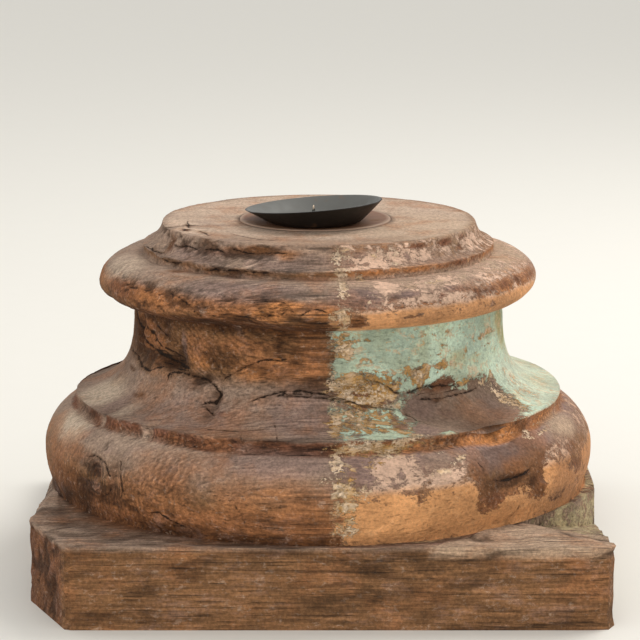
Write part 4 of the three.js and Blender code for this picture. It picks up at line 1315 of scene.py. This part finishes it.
def spike_finish(colours):
    finish = Finish("Dull spike steel")
    scale = finish.noise(finish.place, 700, 4, 0.6)
    steel = finish.mix(finish.between(scale, 0.35, 0.65), colours.iron, colours.worn_iron)
    # Painted highlight: the cream at the top of the spike stands for the glint of light on its tip.
    steel = finish.mix(finish.field("tip"), steel, colours.cream)
    finish.feed(finish.shader.inputs["Base Color"], steel)
    finish.shader.inputs["Metallic"].default_value = 0.7
    finish.shader.inputs["Roughness"].default_value = 0.35
    return finish.material


def floor_finish(shade):
    finish = Finish("Pale floor")
    speckle = finish.noise(finish.place, 30, 3, 0.5)
    dimmer = tuple(c * 0.985 for c in shade)
    finish.feed(finish.shader.inputs["Base Color"], finish.mix(speckle, shade, dimmer))
    finish.shader.inputs["Roughness"].default_value = 0.9
    return finish.material


# Disc, dish and spike


class OBJECT_OT_let_in_disc(bpy.types.Operator):
    """Turn the wooden disc with its rounded upper edge and the notch at its right"""

    bl_idname = "object.let_in_disc"
    bl_label = "Let-in disc"

    def execute(self, context):
        sizes = context.scene.holder_sizes
        low, top = DISC_BOX[0].z, DISC_BOX[1].z
        radius, edge = sizes.disc_radius, sizes.disc_edge
        profile = [(0, low), (radius - edge / 2, low), (radius, low + edge / 2), (radius, top - edge)]
        for step in range(1, 7):
            angle = math.radians(15 * step)
            profile.append((radius - edge * (1 - math.cos(angle)), top - edge * (1 - math.sin(angle))))
        shares = (0.93, 0.88, 0.83, 0.78, 0.73, 0.68, 0.6, 0.5, 0.35, 0.2)
        profile += [(radius * share, top) for share in shares]
        profile.append((0, top))
        piece = turn_profile("let_in_disc", profile, 0, ((360, 180),))
        places = vertex_places(piece)
        on_top = places[:, 2] > top - 2 * edge
        notch = np.hypot(places[:, 0] - 0.78 * radius, places[:, 1] + 0.21 * radius)
        depth = 1.3 * MM * np.exp(-(notch / (2.6 * MM)) ** 2)
        depth += 0.25 * MM * (0.5 + 0.5 * rough_relief(places * np.array((14, 160, 160)), 5))
        places[:, 2] -= depth * on_top
        out = np.hypot(places[:, 0], places[:, 1])
        places[:, 0] += DISC_BOX[0].x + radius
        set_places(piece, places)
        # The edge field marks where the painted highlight lies along the rounded upper edge.
        store_field(piece, "edge", 0.5 * ramp(out, radius - 3 * edge, radius - 1.5 * edge))
        smooth_all(piece)
        piece.data.materials.append(disc_finish(context.scene.finishes))
        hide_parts("seat_disc")
        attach(piece, "root")
        return {"FINISHED"}


class OBJECT_OT_iron_dish(bpy.types.Operator):
    """Turn the dish and lean its rim over the level foot"""

    bl_idname = "object.iron_dish"
    bl_label = "Iron dish"

    def execute(self, context):
        sizes = context.scene.holder_sizes
        rim, foot = sizes.dish_radius, sizes.dish_foot
        height, wall = sizes.dish_height, sizes.dish_wall
        slope = Vector((rim - foot, height)).normalized()
        inset = wall / slope.y
        turn = 3 * wall
        inner_foot = foot - inset + wall * slope.x / slope.y
        profile = [(0, 0), (foot * 0.5, 0)]
        profile += bend((foot - turn, 0), (foot, 0), (foot + slope.x * turn, slope.y * turn), 7)
        profile += straight(profile[-1], (rim - 0.15 * wall, height - 0.2 * wall), 5)
        profile += [(rim - 0.4 * wall, height), (rim - inset + 0.4 * wall, height)]
        profile += [(rim - inset, height - 0.25 * wall)]
        inner = bend(
            (inner_foot + slope.x * turn, wall + slope.y * turn), (inner_foot, wall),
            (inner_foot - turn, wall), 7)
        profile += straight(profile[-1], inner[0], 4) + inner[1:]
        profile += [(foot * 0.5, wall), (foot * 0.25, wall), (0, wall)]
        piece = turn_profile("iron_dish", profile, 0, ((360, 144),))
        places = vertex_places(piece)
        radius = np.hypot(places[:, 0], places[:, 1])
        share = np.maximum(0, (places[:, 2] - wall) / (height - wall))
        middle = foot - inset / 2 + (rim - foot) * places[:, 2] / height
        inside = (radius < middle) & (places[:, 2] > 0.8 * wall)
        lift = places[:, 0] * math.tan(sizes.rise_right) - places[:, 1] * math.tan(sizes.rise_front)
        places[:, 2] += share * lift
        places += np.array((
            (DISH_BOX[0].x + DISH_BOX[1].x) / 2, (DISH_BOX[0].y + DISH_BOX[1].y) / 2, DISH_BOX[0].z))
        set_places(piece, places)
        store_field(piece, "inside", inside.astype(float))
        smooth_all(piece)
        piece.data.materials.append(iron_finish(context.scene.finishes))
        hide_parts("candle_dish")
        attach(piece, "root")
        return {"FINISHED"}


def bend(start, corner, end, steps):
    """Points of a quadratic curve round a corner."""
    a, b, c = (np.array(p) for p in (start, corner, end))
    shares = np.linspace(0, 1, steps)[:, None]
    left = 1 - shares
    return [tuple(p) for p in left ** 2 * a + 2 * left * shares * b + shares ** 2 * c]


class OBJECT_OT_candle_spike(bpy.types.Operator):
    """Turn the spike with its rounded collar and blunt tip"""

    bl_idname = "object.candle_spike"
    bl_label = "Candle spike"

    def execute(self, context):
        sizes = context.scene.holder_sizes
        radius, collar = sizes.spike_radius, sizes.spike_collar
        low, top = SPIKE_BOX[0].z, SPIKE_BOX[1].z
        tip = 0.5 * MM
        profile = [(0, low), (radius + collar, low), (radius + collar, low + 0.5 * collar)]
        profile += bend((radius + collar, low + 0.6 * collar), (radius + 0.6 * collar, low + collar),
                        (radius, low + collar), 4)
        profile += straight((radius, low + collar), (tip, top - tip), 6)
        profile += [(0.7 * tip, top - 0.4 * tip), (0, top)]
        piece = turn_profile("spike", profile, 0, ((360, 32),))
        places = vertex_places(piece)
        places += np.array((
            (SPIKE_BOX[0].x + SPIKE_BOX[1].x) / 2, (SPIKE_BOX[0].y + SPIKE_BOX[1].y) / 2, 0))
        set_places(piece, places)
        # The tip field marks where the painted highlight lies at the top of the spike.
        store_field(piece, "tip", ramp(places[:, 2], top - 3 * MM, top - 1 * MM))
        smooth_all(piece)
        piece.data.materials.append(spike_finish(context.scene.finishes))
        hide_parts("candle_spike")
        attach(piece, "root")
        return {"FINISHED"}


# Stage


def soft_light(name, place, target, size, power, warmth):
    """Large soft lamp that shines from a place towards a target."""
    lamp = bpy.data.lights.new(name, "AREA")
    lamp.shape = "DISK"
    lamp.size = size
    lamp.energy = power
    lamp.color = warmth
    holder = bpy.data.objects.new(name, lamp)
    holder.location = place
    holder.rotation_euler = (Vector(target) - Vector(place)).to_track_quat("-Z", "Y").to_euler()
    bpy.context.scene.collection.objects.link(holder)


class SCENE_OT_pale_stage(bpy.types.Operator):
    """Lay the pale floor, hang the soft lights and set the camera at the viewing angle"""

    bl_idname = "scene.pale_stage"
    bl_label = "Pale stage"

    def execute(self, context):
        stage = context.scene.stage_settings
        bpy.ops.object.select_all(action="DESELECT")
        bpy.ops.mesh.primitive_plane_add(size=40, location=(0, 0, 0))
        floor = context.object
        floor.name = "floor"
        floor.data.materials.append(floor_finish(tuple(stage.floor)))

        world = context.scene.world or bpy.data.worlds.new("Pale room")
        context.scene.world = world
        world.use_nodes = True
        sky = world.node_tree.nodes["Background"]
        sky.inputs["Color"].default_value = (1.0, 0.985, 0.96, 1)
        sky.inputs["Strength"].default_value = 0.8
        soft_light("window light", (1.3, 0.9, 2.2), (0, 0, 0.1), 1.6, 32, (1.0, 0.97, 0.93))
        soft_light("front fill", (-0.7, -2.5, 0.8), (0, 0, 0.15), 2.2, 17, (1.0, 0.98, 0.96))

        lens = bpy.data.cameras.new("camera")
        lens.lens = stage.focal
        lens.sensor_width = 36
        lens.shift_x = stage.shift
        lens.clip_end = 60
        camera = bpy.data.objects.new("camera", lens)
        back = Vector((0, -math.cos(stage.pitch), math.sin(stage.pitch)))
        camera.location = Vector((0, 0, stage.aim_level)) + back * stage.distance
        camera.rotation_euler = (math.pi / 2 - stage.pitch, 0, 0)
        context.scene.collection.objects.link(camera)
        context.scene.camera = camera
        context.scene.view_settings.view_transform = "Standard"
        return {"FINISHED"}


# Add-on


class VIEW3D_PT_column_base(bpy.types.Panel):
    """Lists the sizes, the colours and the steps of the column base"""

    bl_label = "Column Base"
    bl_idname = "VIEW3D_PT_column_base"
    bl_space_type = "VIEW_3D"
    bl_region_type = "UI"
    bl_category = "Column Base"

    def draw(self, context):
        layout = self.layout
        for group in GROUPS:
            box = layout.box()
            settings = getattr(context.scene, group)
            for name in settings.__annotations__:
                box.prop(settings, name)
        for step in STEPS:
            layout.operator(step.bl_idname)


GROUPS = {
    "base_sizes": BaseSizes,
    "holder_sizes": HolderSizes,
    "finishes": Finishes,
    "stage_settings": StageSettings,
}
STEPS = (
    OBJECT_OT_carved_base,
    OBJECT_OT_let_in_disc,
    OBJECT_OT_iron_dish,
    OBJECT_OT_candle_spike,
    SCENE_OT_pale_stage,
)


def register():
    for settings in GROUPS.values():
        bpy.utils.register_class(settings)
    for name, settings in GROUPS.items():
        setattr(bpy.types.Scene, name, PointerProperty(type=settings))
    for step in STEPS:
        bpy.utils.register_class(step)
    bpy.utils.register_class(VIEW3D_PT_column_base)


def unregister():
    bpy.utils.unregister_class(VIEW3D_PT_column_base)
    for step in reversed(STEPS):
        bpy.utils.unregister_class(step)
    for name, settings in GROUPS.items():
        delattr(bpy.types.Scene, name)
        bpy.utils.unregister_class(settings)


def main():
    register()
    bpy.ops.object.carved_base()
    bpy.ops.object.let_in_disc()
    bpy.ops.object.iron_dish()
    bpy.ops.object.candle_spike()
    bpy.ops.scene.pale_stage()


if __name__ == "__main__":
    main()
